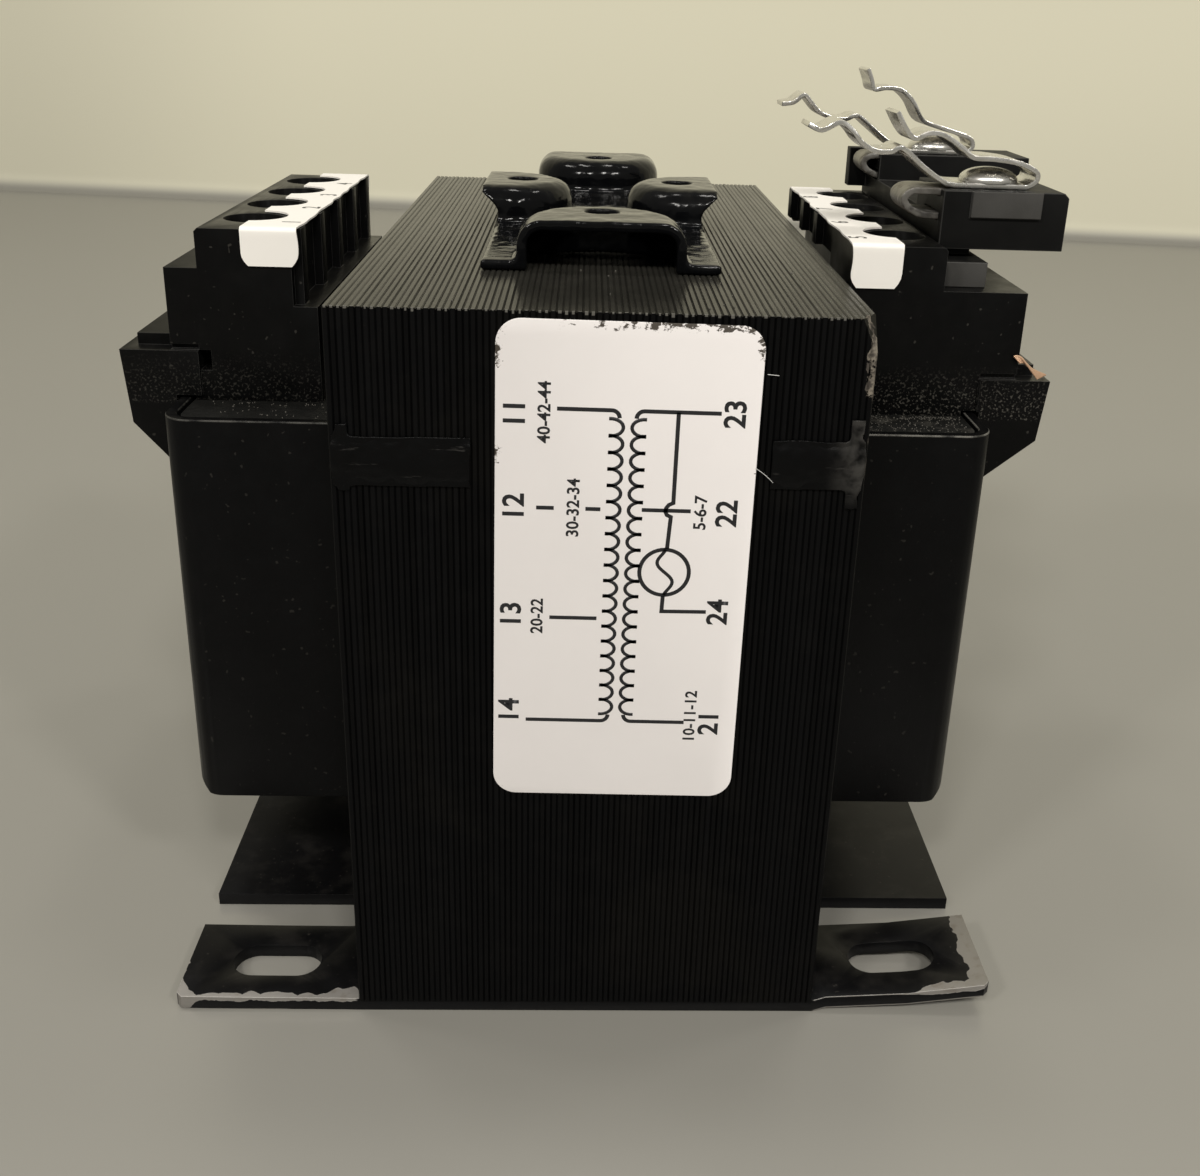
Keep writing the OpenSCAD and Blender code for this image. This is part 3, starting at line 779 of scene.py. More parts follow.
@dataclass(frozen=True)
class VarnishedPlates(Finish):
    """Black varnish over the edges of stacked steel plates."""

    base: Colour = (0.0011, 0.0011, 0.0012)
    # the colour of the top's dust film, which also serves as a painted sheen
    film: Colour = (0.045, 0.043, 0.036)
    bare: Colour = (0.21, 0.185, 0.15)
    plates: int = 84
    shine: float = 0.08

    def wire(self, tree: ShaderTree, shader: bpy.types.Node) -> None:
        """Vary the plates, wear the front corner and the top edge, and sprinkle a little dust."""
        stack = Box.of("i_laminations")
        pitch = stack.size.x / self.plates
        place = tree.place()
        x, y, z = tree.axes(place)
        number = tree.math("FLOOR", tree.math("DIVIDE", tree.math("SUBTRACT", x, stack.low.x), pitch))
        lot = tree.add("ShaderNodeTexWhiteNoise", {"W": number}, noise_dimensions="1D").outputs["Value"]
        tone = tree.mix(lot, self.base, tuple(c * 1.7 for c in self.base))
        brown = tree.rise(Smears.on(tree, Size=0.06), 0.48, 0.66)
        tone = tree.mix(tree.math("MULTIPLY", brown, 0.4), tone, (0.0045, 0.004, 0.0032))
        # the top is lightened by a thin film of dust and a painted sheen, both less towards the front
        up = tree.rise(tree.facing()[2], 0.4, 0.8)
        back = tree.blend(tree.rise(y, -46.0, 10.0), 0.35, 1.0)
        tone = tree.mix(tree.math("MULTIPLY", up, back), tone, self.film)
        # the corner between the front, the top and the secondary side is worn to the steel
        far_x = tree.math("SUBTRACT", stack.high.x, x)
        far_y = tree.math("SUBTRACT", y, stack.low.y)
        far_z = tree.math("MULTIPLY", tree.math("SUBTRACT", stack.high.z, z), 0.24)
        away = tree.math("SQRT", tree.total(*[tree.math("MULTIPLY", v, v) for v in (far_x, far_y, far_z)]))
        corner = Flakes.on(tree, Distance=away, Reach=1.3, Ragged=0.95)
        spots = tree.rise(tree.grain(place, 1.1, 4.0, 0.65), 0.36, 0.44)
        corner = tree.math("MULTIPLY", corner, spots)
        # thin rubbed line down that side's front edge
        edge = tree.math("ADD", far_x, tree.math("MULTIPLY", far_y, 0.8))
        rubbed = Flakes.on(tree, Distance=edge, Reach=0.06, Ragged=0.22)
        upper = tree.rise(z, stack.low.z - 16, stack.low.z + 6)
        rubbed = tree.math("MULTIPLY", rubbed, tree.math("MULTIPLY", upper, 0.3))
        worn = tree.math("MAXIMUM", corner, rubbed)
        bare = tree.mix(tree.rise(tree.grain(place, 1.3, 4.0), 0.4, 0.62), self.bare, (0.06, 0.052, 0.045))
        colour = tree.mix(worn, tone, bare)
        colour = tree.mix(Dust.on(tree, Amount=0.14, Size=1.0), colour, (0.12, 0.11, 0.09))
        gloss = tree.blend(lot, 0.26, 0.38)
        gloss = tree.math("ADD", gloss, tree.math("MULTIPLY", Smears.on(tree, Size=0.16), 0.12))
        gloss = tree.math("ADD", gloss, tree.math("MULTIPLY", tree.rise(tree.facing()[1], -0.3, -0.8), 0.14))
        gloss = tree.blend(tree.math("MULTIPLY", up, 0.75), gloss, 0.16)
        tree.feed(shader.inputs["Base Color"], colour)
        tree.feed(shader.inputs["Roughness"], tree.blend(worn, gloss, 0.62))
        shader.inputs["Specular IOR Level"].default_value = self.shine
        self.bump(tree, shader, Relief.on(tree, Waves=0.7, Grain=5.0, Share=0.4), 0.03, 0.7)


@dataclass(frozen=True)
class Moulding(Finish):
    """Black moulded plastic or dipped varnish, with dust and a faint relief."""

    base: Colour = (0.0017, 0.0017, 0.0017)
    gloss: Gloss = Gloss.SATIN
    dust: float = 0.15
    relief: float = 0.02
    waves: float = 0.3
    shine: float = 0.1
    specks: float = 0.0
    grime: Colour = (0.10, 0.094, 0.08)

    def wire(self, tree: ShaderTree, shader: bpy.types.Node) -> None:
        """Cloud the colour and the gloss, and settle dust on it."""
        cloud = Smears.on(tree, Size=0.22)
        tone = tree.mix(cloud, self.base, tuple(c * 1.8 for c in self.base))
        dust = self.settled(tree)
        colour = tree.mix(dust, tone, self.grime)
        spread = tree.math("MULTIPLY", tree.math("SUBTRACT", cloud, 0.5), 0.3)
        rough = tree.math("ADD", self.gloss.value, spread, clamp=True)
        tree.feed(shader.inputs["Base Color"], colour)
        tree.feed(shader.inputs["Roughness"], tree.blend(dust, rough, 0.8))
        shader.inputs["Specular IOR Level"].default_value = self.shine
        self.bump(tree, shader, Relief.on(tree, Waves=self.waves, Grain=6.0, Share=0.25), self.relief)

    def settled(self, tree: ShaderTree) -> bpy.types.NodeSocket:
        """Give where dust has settled and specks cling.

        Args:
            tree: the material's tree.

        Returns:
            The mask of both.
        """
        dust = Dust.on(tree, Amount=self.dust, Size=1.2)
        if not self.specks:
            return dust
        specks = tree.rise(tree.grain(tree.place(), 1.5, 1.0, 0.4), 0.73, 0.79)
        return tree.math("MAXIMUM", dust, tree.math("MULTIPLY", specks, self.specks))


@dataclass(frozen=True)
class DustyLedge(Moulding):
    """The flange under the terminal blocks, dustier on the secondary side."""

    def settled(self, tree: ShaderTree) -> bpy.types.NodeSocket:
        """Lessen the dust on the primary side."""
        share = tree.blend(tree.secondary(tree.axes(tree.place())[0]), 0.12, 1.0)
        return tree.math("MULTIPLY", super().settled(tree), share)


@dataclass(frozen=True)
class DustyFoot(Moulding):
    """A terminal block whose foot is speckled with dust that blew off the ledge below."""

    def settled(self, tree: ShaderTree) -> bpy.types.NodeSocket:
        """Add the specks along the foot to the dust."""
        foot = Box.of("coil_former").high.z
        x, _, z = tree.axes(tree.place())
        near = tree.math("MULTIPLY", tree.rise(z, foot + 6.5, foot + 1.0), tree.rise(z, foot - 0.4, foot))
        near = tree.math("MULTIPLY", near, tree.blend(tree.secondary(x), 0.4, 1.0))
        fine = tree.rise(tree.grain(tree.place(), 3.4, 2.0, 0.5), 0.54, 0.68)
        specks = tree.math("MULTIPLY", tree.math("MULTIPLY", near, fine), 0.6)
        return tree.math("MAXIMUM", super().settled(tree), specks)


@dataclass(frozen=True)
class RubbedVarnish(Moulding):
    """Thick varnish at the plates' joint, scratched, and rubbed grey where it runs down the secondary edge."""

    rubbed: Colour = (0.042, 0.04, 0.037)

    def wire(self, tree: ShaderTree, shader: bpy.types.Node) -> None:
        """Add the scratches and the grey run to the moulding."""
        super().wire(tree, shader)
        lumps = Box.of("core_weld_beads")
        place = tree.place()
        x, _, z = tree.axes(place)
        outward = tree.rise(x, lumps.high.x - 4.2, lumps.high.x - 0.4)
        run = tree.math("MULTIPLY", outward, tree.rise(z, lumps.low.z, lumps.low.z + 3.0))
        run = tree.math("MULTIPLY", run, tree.rise(tree.grain(place, 0.5, 3.0), 0.3, 0.62))
        scratch = tree.rise(tree.grain(tree.stretched(place, (0.2, 1.0, 1.9)), 0.8, 4.0, 0.7), 0.64, 0.72)
        mask = tree.math("MAXIMUM", run, tree.math("MULTIPLY", scratch, 0.55))
        old = shader.inputs["Base Color"].links[0].from_socket
        tree.feed(shader.inputs["Base Color"], tree.mix(mask, old, self.rubbed))


@dataclass(frozen=True)
class CoverSkinWithRimHighlight(Moulding):
    """A dipped coil cover with a painted highlight along its upper rim, and a little paler along its outer corner.
    """

    def wire(self, tree: ShaderTree, shader: bpy.types.Node) -> None:
        """Add the painted rim highlight and the paler corner to the moulding."""
        super().wire(tree, shader)
        cover = Box.of("secondary_coil_cover")
        place = tree.place()
        x, _, z = tree.axes(place)
        # painted highlight on the rounded faces of the upper rim, stronger on the secondary side
        near = tree.rise(z, cover.high.z - 0.34, cover.high.z - 0.12)
        up = tree.facing()[2]
        rounded = tree.math("MULTIPLY", tree.rise(up, 0.1, 0.3), tree.rise(up, 0.95, 0.8))
        near = tree.math("MULTIPLY", near, rounded)
        near = tree.math("MULTIPLY", near, tree.blend(tree.secondary(x), 0.4, 1.0))
        corner = tree.math("MULTIPLY", tree.rise(x, cover.high.x - 0.5, cover.high.x - 0.25), 0.16)
        broken = tree.rise(tree.grain(tree.stretched(place, (1, 1, 0.2)), 0.5, 4.0), 0.3, 0.6)
        rubbed = tree.math("MULTIPLY", tree.math("MAXIMUM", near, corner), broken)
        # the pale colour here is the painted rim highlight, with the paler outer corner
        old = shader.inputs["Base Color"].links[0].from_socket
        tree.feed(shader.inputs["Base Color"], tree.mix(rubbed, old, (0.14, 0.135, 0.12)))


@dataclass(frozen=True)
class ChippedPaint(Finish):
    """Black paint on a sheared steel plate, rubbed and flaked off along the lugs' edges.

    Each of its bends is (from, to, rise) along X, on the front lug of the secondary side.
    """

    paint: Colour = (0.0022, 0.0022, 0.0024)
    steel: Colour = (0.29, 0.275, 0.255)
    shine: float = 0.12
    bends: tuple[tuple[float, float, float], ...] = (
        (26.0, 27.4, 0.506),
        (27.4, 36.8, 0.529),
        (36.8, 46.2, 1.265),
    )

    def wire(self, tree: ShaderTree, shader: bpy.types.Node) -> None:
        """Bare the lugs' borders and the sheared edges."""
        place = tree.place()
        scratches = tree.grain(tree.stretched(place, (0.25, 4.0, 4.0)), 1.6, 4.0, 0.7)
        bare = self.bare_mask(tree, place)
        dull = tree.rise(tree.grain(place, 0.8, 4.0), 0.5, 0.72)
        steel = tree.mix(tree.math("MULTIPLY", dull, 0.6), self.steel, (0.2, 0.17, 0.14))
        steel = tree.mix(tree.math("MULTIPLY", scratches, 0.5), steel, (0.24, 0.23, 0.215))
        # where bare, the rounded edges that tilt up are painted near white: brighter steel and a painted highlight
        up = tree.facing()[2]
        rolled_edge_highlight = tree.math("MULTIPLY", tree.rise(up, 0.12, 0.3), tree.rise(up, 0.99, 0.96))
        steel = tree.mix(tree.math("MULTIPLY", rolled_edge_highlight, 0.8), steel, (0.72, 0.7, 0.67))
        paint = tree.mix(Smears.on(tree, Size=0.2), self.paint, tuple(c * 2.2 for c in self.paint))
        paint = tree.mix(Dust.on(tree, Amount=0.16, Size=0.8), paint, (0.12, 0.11, 0.095))
        tree.feed(shader.inputs["Base Color"], tree.mix(bare, paint, steel))
        tree.feed(shader.inputs["Metallic"], tree.math("MULTIPLY", bare, 0.6))
        smooth = tree.blend(Smears.on(tree, Size=0.3), 0.26, 0.42)
        tree.feed(shader.inputs["Roughness"], tree.blend(bare, smooth, 0.45))
        shader.inputs["Specular IOR Level"].default_value = self.shine
        step = tree.blend(bare, 1.0, tree.math("MULTIPLY", scratches, 0.4))
        self.bump(tree, shader, step, 0.06, 0.8)

    def bare_mask(self, tree: ShaderTree, place: bpy.types.NodeSocket) -> bpy.types.NodeSocket:
        """Give where the steel shows.

        Args:
            tree: the material's tree.
            place: the place in millimetres.

        Returns:
            The mask of bare steel.
        """
        plate = Box.of("mounting_plate")
        sheet = plate.high.z - sum(rise for _, _, rise in self.bends)
        x, y, z = tree.axes(place)
        up = tree.facing()[2]
        right = tree.secondary(x)
        wide = tree.math("ABSOLUTE", x)
        front = tree.math("SUBTRACT", plate.high.y, tree.math("ABSOLUTE", y))
        outer = tree.math("SUBTRACT", plate.high.x, wide)
        lug = tree.rise(front, 12.6, 12.0)
        # along the front the paint is gone in scallops, wider at the right tip and beside the core on the left
        tip = tree.rise(x, plate.high.x - 11.0, plate.high.x - 5.0)
        bump = tree.math("MULTIPLY", tree.rise(x, -29.6, -28.2), tree.rise(x, -25.4, -26.6))
        drift = tree.math("MULTIPLY", tree.grain(place, 0.16, 1.0), 9.0)
        phase = tree.math("ADD", tree.math("MULTIPLY", x, 1.15), drift)
        bite = tree.blend(right, 0.38, tree.math("MULTIPLY", tip, 0.4))
        scallops = tree.math("MULTIPLY", tree.math("ABSOLUTE", tree.math("SINE", phase)), bite)
        left_reach = tree.math("ADD", 0.42, tree.math("MULTIPLY", bump, 1.1))
        reach = tree.blend(right, left_reach, tree.blend(tip, -0.4, 0.9))
        along_front = Flakes.on(tree, Distance=front, Reach=tree.math("ADD", reach, scallops), Ragged=0.3)
        along_outer = Flakes.on(tree, Distance=outer, Reach=tree.blend(right, -0.35, 1.9), Ragged=0.62)
        corner = tree.math("ADD", outer, tree.math("MULTIPLY", front, 0.9))
        at_corner = Flakes.on(tree, Distance=corner, Reach=2.6, Ragged=0.5)
        top = tree.math("MAXIMUM", tree.math("MAXIMUM", along_front, along_outer), at_corner)
        top = tree.math("MULTIPLY", tree.math("MULTIPLY", top, lug), tree.rise(up, 0.5, 0.7))
        # on the sheared front the paint is gone below the upper edge and in a thin line at the foot
        sheared = tree.math("MULTIPLY", tree.rise(front, 0.6, 0.4), tree.rise(wide, 25.8, 26.2))
        sheared = tree.math("MULTIPLY", sheared, tree.rise(up, 0.7, 0.5))
        level = tree.math("SUBTRACT", z, self.lift(tree, x, right))
        wander = tree.math("SUBTRACT", tree.grain(tree.stretched(place, (1, 1, 0.3)), 0.55, 3.0), 0.5)
        depth = tree.blend(right, 0.34, tree.blend(tip, 0.1, 0.55))
        left_end = tree.math("MULTIPLY", tree.rise(x, -plate.high.x + 2.8, -plate.high.x + 0.8), 1.3)
        depth = tree.total(depth, tree.math("MULTIPLY", wander, tree.blend(right, 1.5, tip)), left_end)
        upper = tree.rise(tree.math("ADD", level, depth), sheet - 0.04, sheet + 0.02)
        footed = tree.blend(right, tree.rise(x, -33.0, -35.0), 0.9)
        foot = tree.math("MULTIPLY", tree.rise(level, 0.2, 0.12), footed)
        lines = tree.math("MULTIPLY", sheared, tree.math("MAXIMUM", upper, foot))
        return tree.math("MAXIMUM", top, lines)

    def lift(
        self, tree: ShaderTree, x: bpy.types.NodeSocket, right: bpy.types.NodeSocket
    ) -> bpy.types.NodeSocket:
        """Give how far the front lug is bent up at a place across the plate.

        Args:
            tree: the material's tree.
            x: the place across the plate in millimetres.
            right: 1 on the secondary side, where the lug is bent, and 0 on the other.

        Returns:
            The rise in millimetres.
        """
        parts = []
        for low, high, gain in self.bends:
            inputs = {"Value": x, "From Min": low, "From Max": high, "To Min": 0.0, "To Max": gain}
            parts.append(tree.add("ShaderNodeMapRange", inputs).outputs[0])
        return tree.math("MULTIPLY", tree.total(*parts), right)


@dataclass(frozen=True)
class BareMetal(Finish):
    """Plain or plated metal with smudges and fine scratches."""

    base: Colour = (0.78, 0.77, 0.74)
    tarnish_and_shade: Colour = (0.4, 0.36, 0.3)
    amount: float = 0.35
    roughness: float = 0.22
    relief: float = 0.01
    grain: float = 2.0

    def wire(self, tree: ShaderTree, shader: bpy.types.Node) -> None:
        """Tarnish it in clouds, darken its downward faces as painted shade, and scratch it lightly."""
        place = tree.place()
        cloud = tree.rise(Smears.on(tree, Size=0.35), 0.46, 0.72)
        tarnish_and_shade_mask = tree.math("MULTIPLY", cloud, self.amount)
        # faces that look down take the same dark colour, as painted shade
        tarnish_and_shade_mask = tree.math("MAXIMUM", tarnish_and_shade_mask, tree.math("MULTIPLY", tree.rise(tree.facing()[2], 0.0, -0.6), 0.5))
        lines = tree.grain(tree.stretched(place, (0.4, 3.0, 0.4)), self.grain, 4.0, 0.7)
        tree.feed(shader.inputs["Base Color"], tree.mix(tarnish_and_shade_mask, self.base, self.tarnish_and_shade))
        shader.inputs["Metallic"].default_value = 1.0
        spread = tree.math("MULTIPLY", tree.total(cloud, lines), 0.14)
        tree.feed(shader.inputs["Roughness"], tree.math("ADD", spread, self.roughness, clamp=True))
        self.bump(tree, shader, tree.blend(0.5, lines, Smears.on(tree, Size=0.9)), self.relief)


@dataclass(frozen=True)
class DarkenedCrustedTin(BareMetal):
    """Dull tin that is darker towards its lower turn, and crusted dark on its sheared edges."""

    dark_and_crust: Colour = (0.035, 0.032, 0.028)

    def wire(self, tree: ShaderTree, shader: bpy.types.Node) -> None:
        """Add the darker lower turn and the crusted edges to the metal."""
        super().wire(tree, shader)
        straps = Box.of("fuse_link_straps")
        place = tree.place()
        z = tree.axes(place)[2]
        facing = tree.facing()
        # darker towards the lower turn, in patches
        low = tree.rise(z, straps.high.z - 0.6, straps.high.z - 2.4)
        edge = tree.rise(facing[1], -0.5, -0.8)
        patches = tree.rise(tree.grain(place, 0.9, 4.0, 0.65), 0.35, 0.6)
        low = tree.math("MULTIPLY", low, tree.blend(patches, 0.55, 1.0))
        mask = tree.math("MAXIMUM", low, tree.math("MULTIPLY", edge, 0.75))
        old = shader.inputs["Base Color"].links[0].from_socket
        tree.feed(shader.inputs["Base Color"], tree.mix(mask, old, self.dark_and_crust))
        tree.feed(shader.inputs["Metallic"], tree.blend(mask, 1.0, 0.15))


@dataclass(frozen=True)
class Paper(Finish):
    """Off-white paper or film, scuffed dark near its borders."""

    base: Colour = (0.80, 0.765, 0.755)
    scuff: Colour = (0.05, 0.04, 0.03)
    node: str = "wiring_label"
    scuffed: bool = True

    def wire(self, tree: ShaderTree, shader: bpy.types.Node) -> None:
        """Cloud it faintly, and scuff the top border and parts of the sides."""
        place = tree.place()
        x, _, z = tree.axes(place)
        cloud = Smears.on(tree, Size=0.12)
        colour = tree.mix(cloud, self.base, tuple(c * 0.93 for c in self.base))
        if self.scuffed:
            sheet = Box.of(self.node)
            grit = tree.grain(tree.stretched(place, (1, 1, 1.5)), 1.1, 6.0, 0.7)
            top = tree.rise(tree.math("SUBTRACT", sheet.high.z, z), 1.5, 0.4)
            right_share = tree.rise(x, sheet.middle.x - 12, sheet.high.x - 7)
            top = tree.math("MULTIPLY", top, right_share)
            left = tree.rise(tree.math("SUBTRACT", x, sheet.low.x), 2.0, 0.2)
            lower = tree.rise(tree.grain(place, 0.12, 1.0), 0.5, 0.6)
            left = tree.math("MULTIPLY", left, lower)
            right = tree.rise(tree.math("SUBTRACT", sheet.high.x, x), 1.2, 0.2)
            near = tree.math("MAXIMUM", top, tree.math("MAXIMUM", left, tree.math("MULTIPLY", right, lower)))
            dark = tree.rise(tree.math("ADD", grit, tree.math("MULTIPLY", near, 0.21)), 0.66, 0.71)
            dark = tree.math("MULTIPLY", dark, tree.rise(near, 0.05, 0.4))
            colour = tree.mix(dark, colour, self.scuff)
        tree.feed(shader.inputs["Base Color"], colour)
        tree.feed(shader.inputs["Roughness"], tree.blend(cloud, 0.42, 0.6))
        self.bump(tree, shader, Relief.on(tree, Waves=0.15, Grain=8.0, Share=0.3), 0.02)


@dataclass(frozen=True)
class Plain(Finish):
    """A quiet surface with a slight cloud, for ink, wire and wrapping."""

    base: Colour = (0.01, 0.01, 0.011)
    roughness: float = 0.5
    metallic: float = 0.0

    def wire(self, tree: ShaderTree, shader: bpy.types.Node) -> None:
        """Cloud the colour and the gloss a little."""
        cloud = Smears.on(tree, Size=0.6)
        rough = tree.blend(cloud, self.roughness * 0.85, min(1.0, self.roughness * 1.2))
        tree.feed(shader.inputs["Base Color"], tree.mix(cloud, self.base, tuple(c * 0.72 for c in self.base)))
        tree.feed(shader.inputs["Roughness"], rough)
        shader.inputs["Metallic"].default_value = self.metallic


PLATES = VarnishedPlates("varnished_plates")
PAINTED_PLATE = ChippedPaint("chipped_plate_paint")
WET_VARNISH = Moulding(
    "wet_varnish", base=(0.0016, 0.0017, 0.002), gloss=Gloss.WET, dust=0.12, relief=0.018, waves=0.5, shine=0.16
)
LUMP_VARNISH = RubbedVarnish("thick_varnish", base=(0.0012, 0.0012, 0.0013), dust=0.04, relief=0.08, waves=0.45)
TERMINAL_PLASTIC = DustyFoot("terminal_plastic", dust=0.14, specks=0.22)
FUSE_PLASTIC = Moulding("fuse_plastic", base=(0.0035, 0.0035, 0.0034), gloss=Gloss.DULL, dust=0.2, relief=0.04)
# the rounded block edges are paler, partly from rubbing and partly as a painted highlight
RUBBED_EDGE_HIGHLIGHT = Moulding("rubbed_edge_highlight", base=(0.022, 0.0215, 0.0205), gloss=Gloss.DULL, dust=0.15)
RUBBED_PATCH = Moulding("rubbed_patch", base=(0.036, 0.035, 0.033), gloss=Gloss.DULL, dust=0.3, relief=0.05)
LEDGE = DustyLedge("dusty_ledge", base=(0.006, 0.006, 0.0055), gloss=Gloss.DULL, dust=0.8, relief=0.25, waves=0.9)
COVER_SKIN = CoverSkinWithRimHighlight("cover_skin_rim_highlight", base=(0.0018, 0.0018, 0.0019), dust=0.08, specks=0.14, relief=0.05, waves=0.12)
TIN = BareMetal("bright_tin", base=(0.74, 0.73, 0.70), tarnish_and_shade=(0.30, 0.27, 0.23), amount=0.42, roughness=0.18)
DULL_TIN = DarkenedCrustedTin(
    "dull_tin",
    base=(0.40, 0.385, 0.35),
    tarnish_and_shade=(0.10, 0.085, 0.065),
    amount=0.9,
    roughness=0.42,
    relief=0.09,
    grain=1.1,
)
CLAMP_METAL = BareMetal("clamp_metal", base=(0.66, 0.65, 0.62), tarnish_and_shade=(0.3, 0.28, 0.25), amount=0.5, roughness=0.3)
SCREW_BRASS = BareMetal(
    "tarnished_brass", base=(0.40, 0.27, 0.12), tarnish_and_shade=(0.08, 0.055, 0.03), amount=0.7, roughness=0.34, relief=0.03
)
COPPER = Plain("copper_strand", base=(0.66, 0.42, 0.27), roughness=0.4, metallic=0.5)
WINDING_WIRE = Plain("enamelled_wire", base=(0.42, 0.17, 0.07), roughness=0.35, metallic=0.6)
WRAP_PAPER = Plain("varnished_paper", base=(0.3, 0.22, 0.12), roughness=0.6)
LABEL_PAPER = Paper("label_film")
STRIP_PAPER = Paper("strip_film", base=(0.84, 0.81, 0.76), scuffed=False)
INK = Plain("black_ink", base=(0.008, 0.008, 0.010), roughness=0.5)
CRUMB = Plain("varnish_crumbs", base=(0.09, 0.083, 0.07), roughness=0.7)
BURR_METAL = Plain("rubbed_burrs", base=(0.12, 0.115, 0.10), roughness=0.5, metallic=0.2)
FIBRE = Plain("white_fibre", base=(0.6, 0.6, 0.58), roughness=0.6)


# ---- things that repeat ------------------------------------------------------------------------


def crumb_bed(
    name: str, patch: bpy.types.Mesh, density: float, size: float, seed: int, finish: Finish
) -> bpy.types.Object:
    """Scatter small crumbs over a patch.

    Args:
        name: the piece's name.
        patch: the faces that the crumbs lie on.
        density: crumbs for each square millimetre.
        size: the largest crumb's radius in millimetres.
        seed: the seed of the scatter.
        finish: the crumbs' finish.

    Returns:
        The crumbs as one piece.
    """
    tree = GeometryTree(name)
    density_socket = tree.size("Density", density / MM**2)
    radius = tree.size("Radius", size * MM)
    inputs = {"Mesh": tree.source.outputs[0], "Density": density_socket, "Seed": seed}
    points = tree.add("GeometryNodeDistributePointsOnFaces", inputs)
    ball = tree.add("GeometryNodeMeshIcoSphere", {"Radius": radius, "Subdivisions": 1})
    turn = tree.add("FunctionNodeEulerToRotation", {0: tree.scatter(seed + 1, (0, 0, 0), (6.3, 6.3, 6.3))})
    scale = tree.scatter(seed + 2, (0.3, 0.3, 0.25), (1.0, 1.0, 0.8))
    inputs = {"Points": points.outputs[0], "Instance": ball.outputs[0], "Rotation": turn.outputs[0], "Scale": scale}
    placed = tree.add("GeometryNodeInstanceOnPoints", inputs)
    tree.finish(placed.outputs[0], finish.build())
    return tree.bake(name, patch)


def flat_patch(left: float, right: float, front: float, rear: float, level: float) -> bpy.types.Mesh:
    """Make one level face.

    Args:
        left: its lowest X in millimetres.
        right: its highest X.
        front: its lowest Y.
        rear: its highest Y.
        level: its height.

    Returns:
        The face as a mesh.
    """
    corners = ((left, front), (right, front), (right, rear), (left, rear))
    mesh = bpy.data.meshes.new("patch")
    mesh.from_pydata([(x * MM, y * MM, level * MM) for x, y in corners], [], [[0, 1, 2, 3]])
    return mesh


def block(low: Sequence[float], high: Sequence[float]) -> bpy.types.Mesh:
    """Make a plain box as a seed for other shapes.

    Args:
        low: its lowest corner in millimetres.
        high: its highest corner.

    Returns:
        The box as a mesh.
    """
    shape = bmesh.new()
    bmesh.ops.create_cube(shape, size=1.0)
    for vertex in shape.verts:
        share = vertex.co + Vector((0.5, 0.5, 0.5))
        vertex.co = Vector([(a + (b - a) * s) * MM for a, b, s in zip(low, high, share)])
    mesh = bpy.data.meshes.new("block")
    shape.to_mesh(mesh)
    shape.free()
    return mesh


def row_of(
    name: str,
    piece: bpy.types.Mesh,
    start: Vector,
    step: Vector,
    count: int,
    turn: float,
    finish: Finish,
    jitter: Sequence[float] = (1.0, 1.0, 1.0),
    seed: int = 3,
) -> bpy.types.Object:
    """Repeat a mesh along a line.

    Args:
        name: the finished piece's name.
        piece: the mesh to repeat, drawn about the origin.
        start: the first place in millimetres.
        step: the way from one to the next in millimetres.
        count: how many there are.
        turn: the turn about Z from one to the next, in degrees.
        finish: the finish of all of them.
        jitter: the smallest scale of each one, the largest being 1.
        seed: the seed of the scale.

    Returns:
        The row as one piece.
    """
    tree = GeometryTree(name)
    number = tree.size("Count", count)
    first = tree.size("Start", tuple(start * MM))
    way = tree.size("Step", tuple(step * MM))
    inputs = {"Count": number, "Start Location": first, "Offset": way}
    line = tree.add("GeometryNodeMeshLine", inputs, mode="OFFSET")
    index = tree.add("GeometryNodeInputIndex").outputs[0]
    angle = tree.add("ShaderNodeMath", {0: index, 1: tree.size("Turn", math.radians(turn))}, operation="MULTIPLY")
    euler = tree.add("ShaderNodeCombineXYZ", {2: angle.outputs[0]})
    rotation = tree.add("FunctionNodeEulerToRotation", {0: euler.outputs[0]})
    scale = tree.scatter(seed, jitter, (1.0, 1.0, 1.0))
    inputs = {
        "Points": line.outputs[0],
        "Instance": tree.source.outputs[0],
        "Rotation": rotation.outputs[0],
        "Scale": scale,
    }
    placed = tree.add("GeometryNodeInstanceOnPoints", inputs)
    tree.finish(placed.outputs[0], finish.build())
    return tree.bake(name, piece)


# ---- core ------------------------------------------------------------------------------------


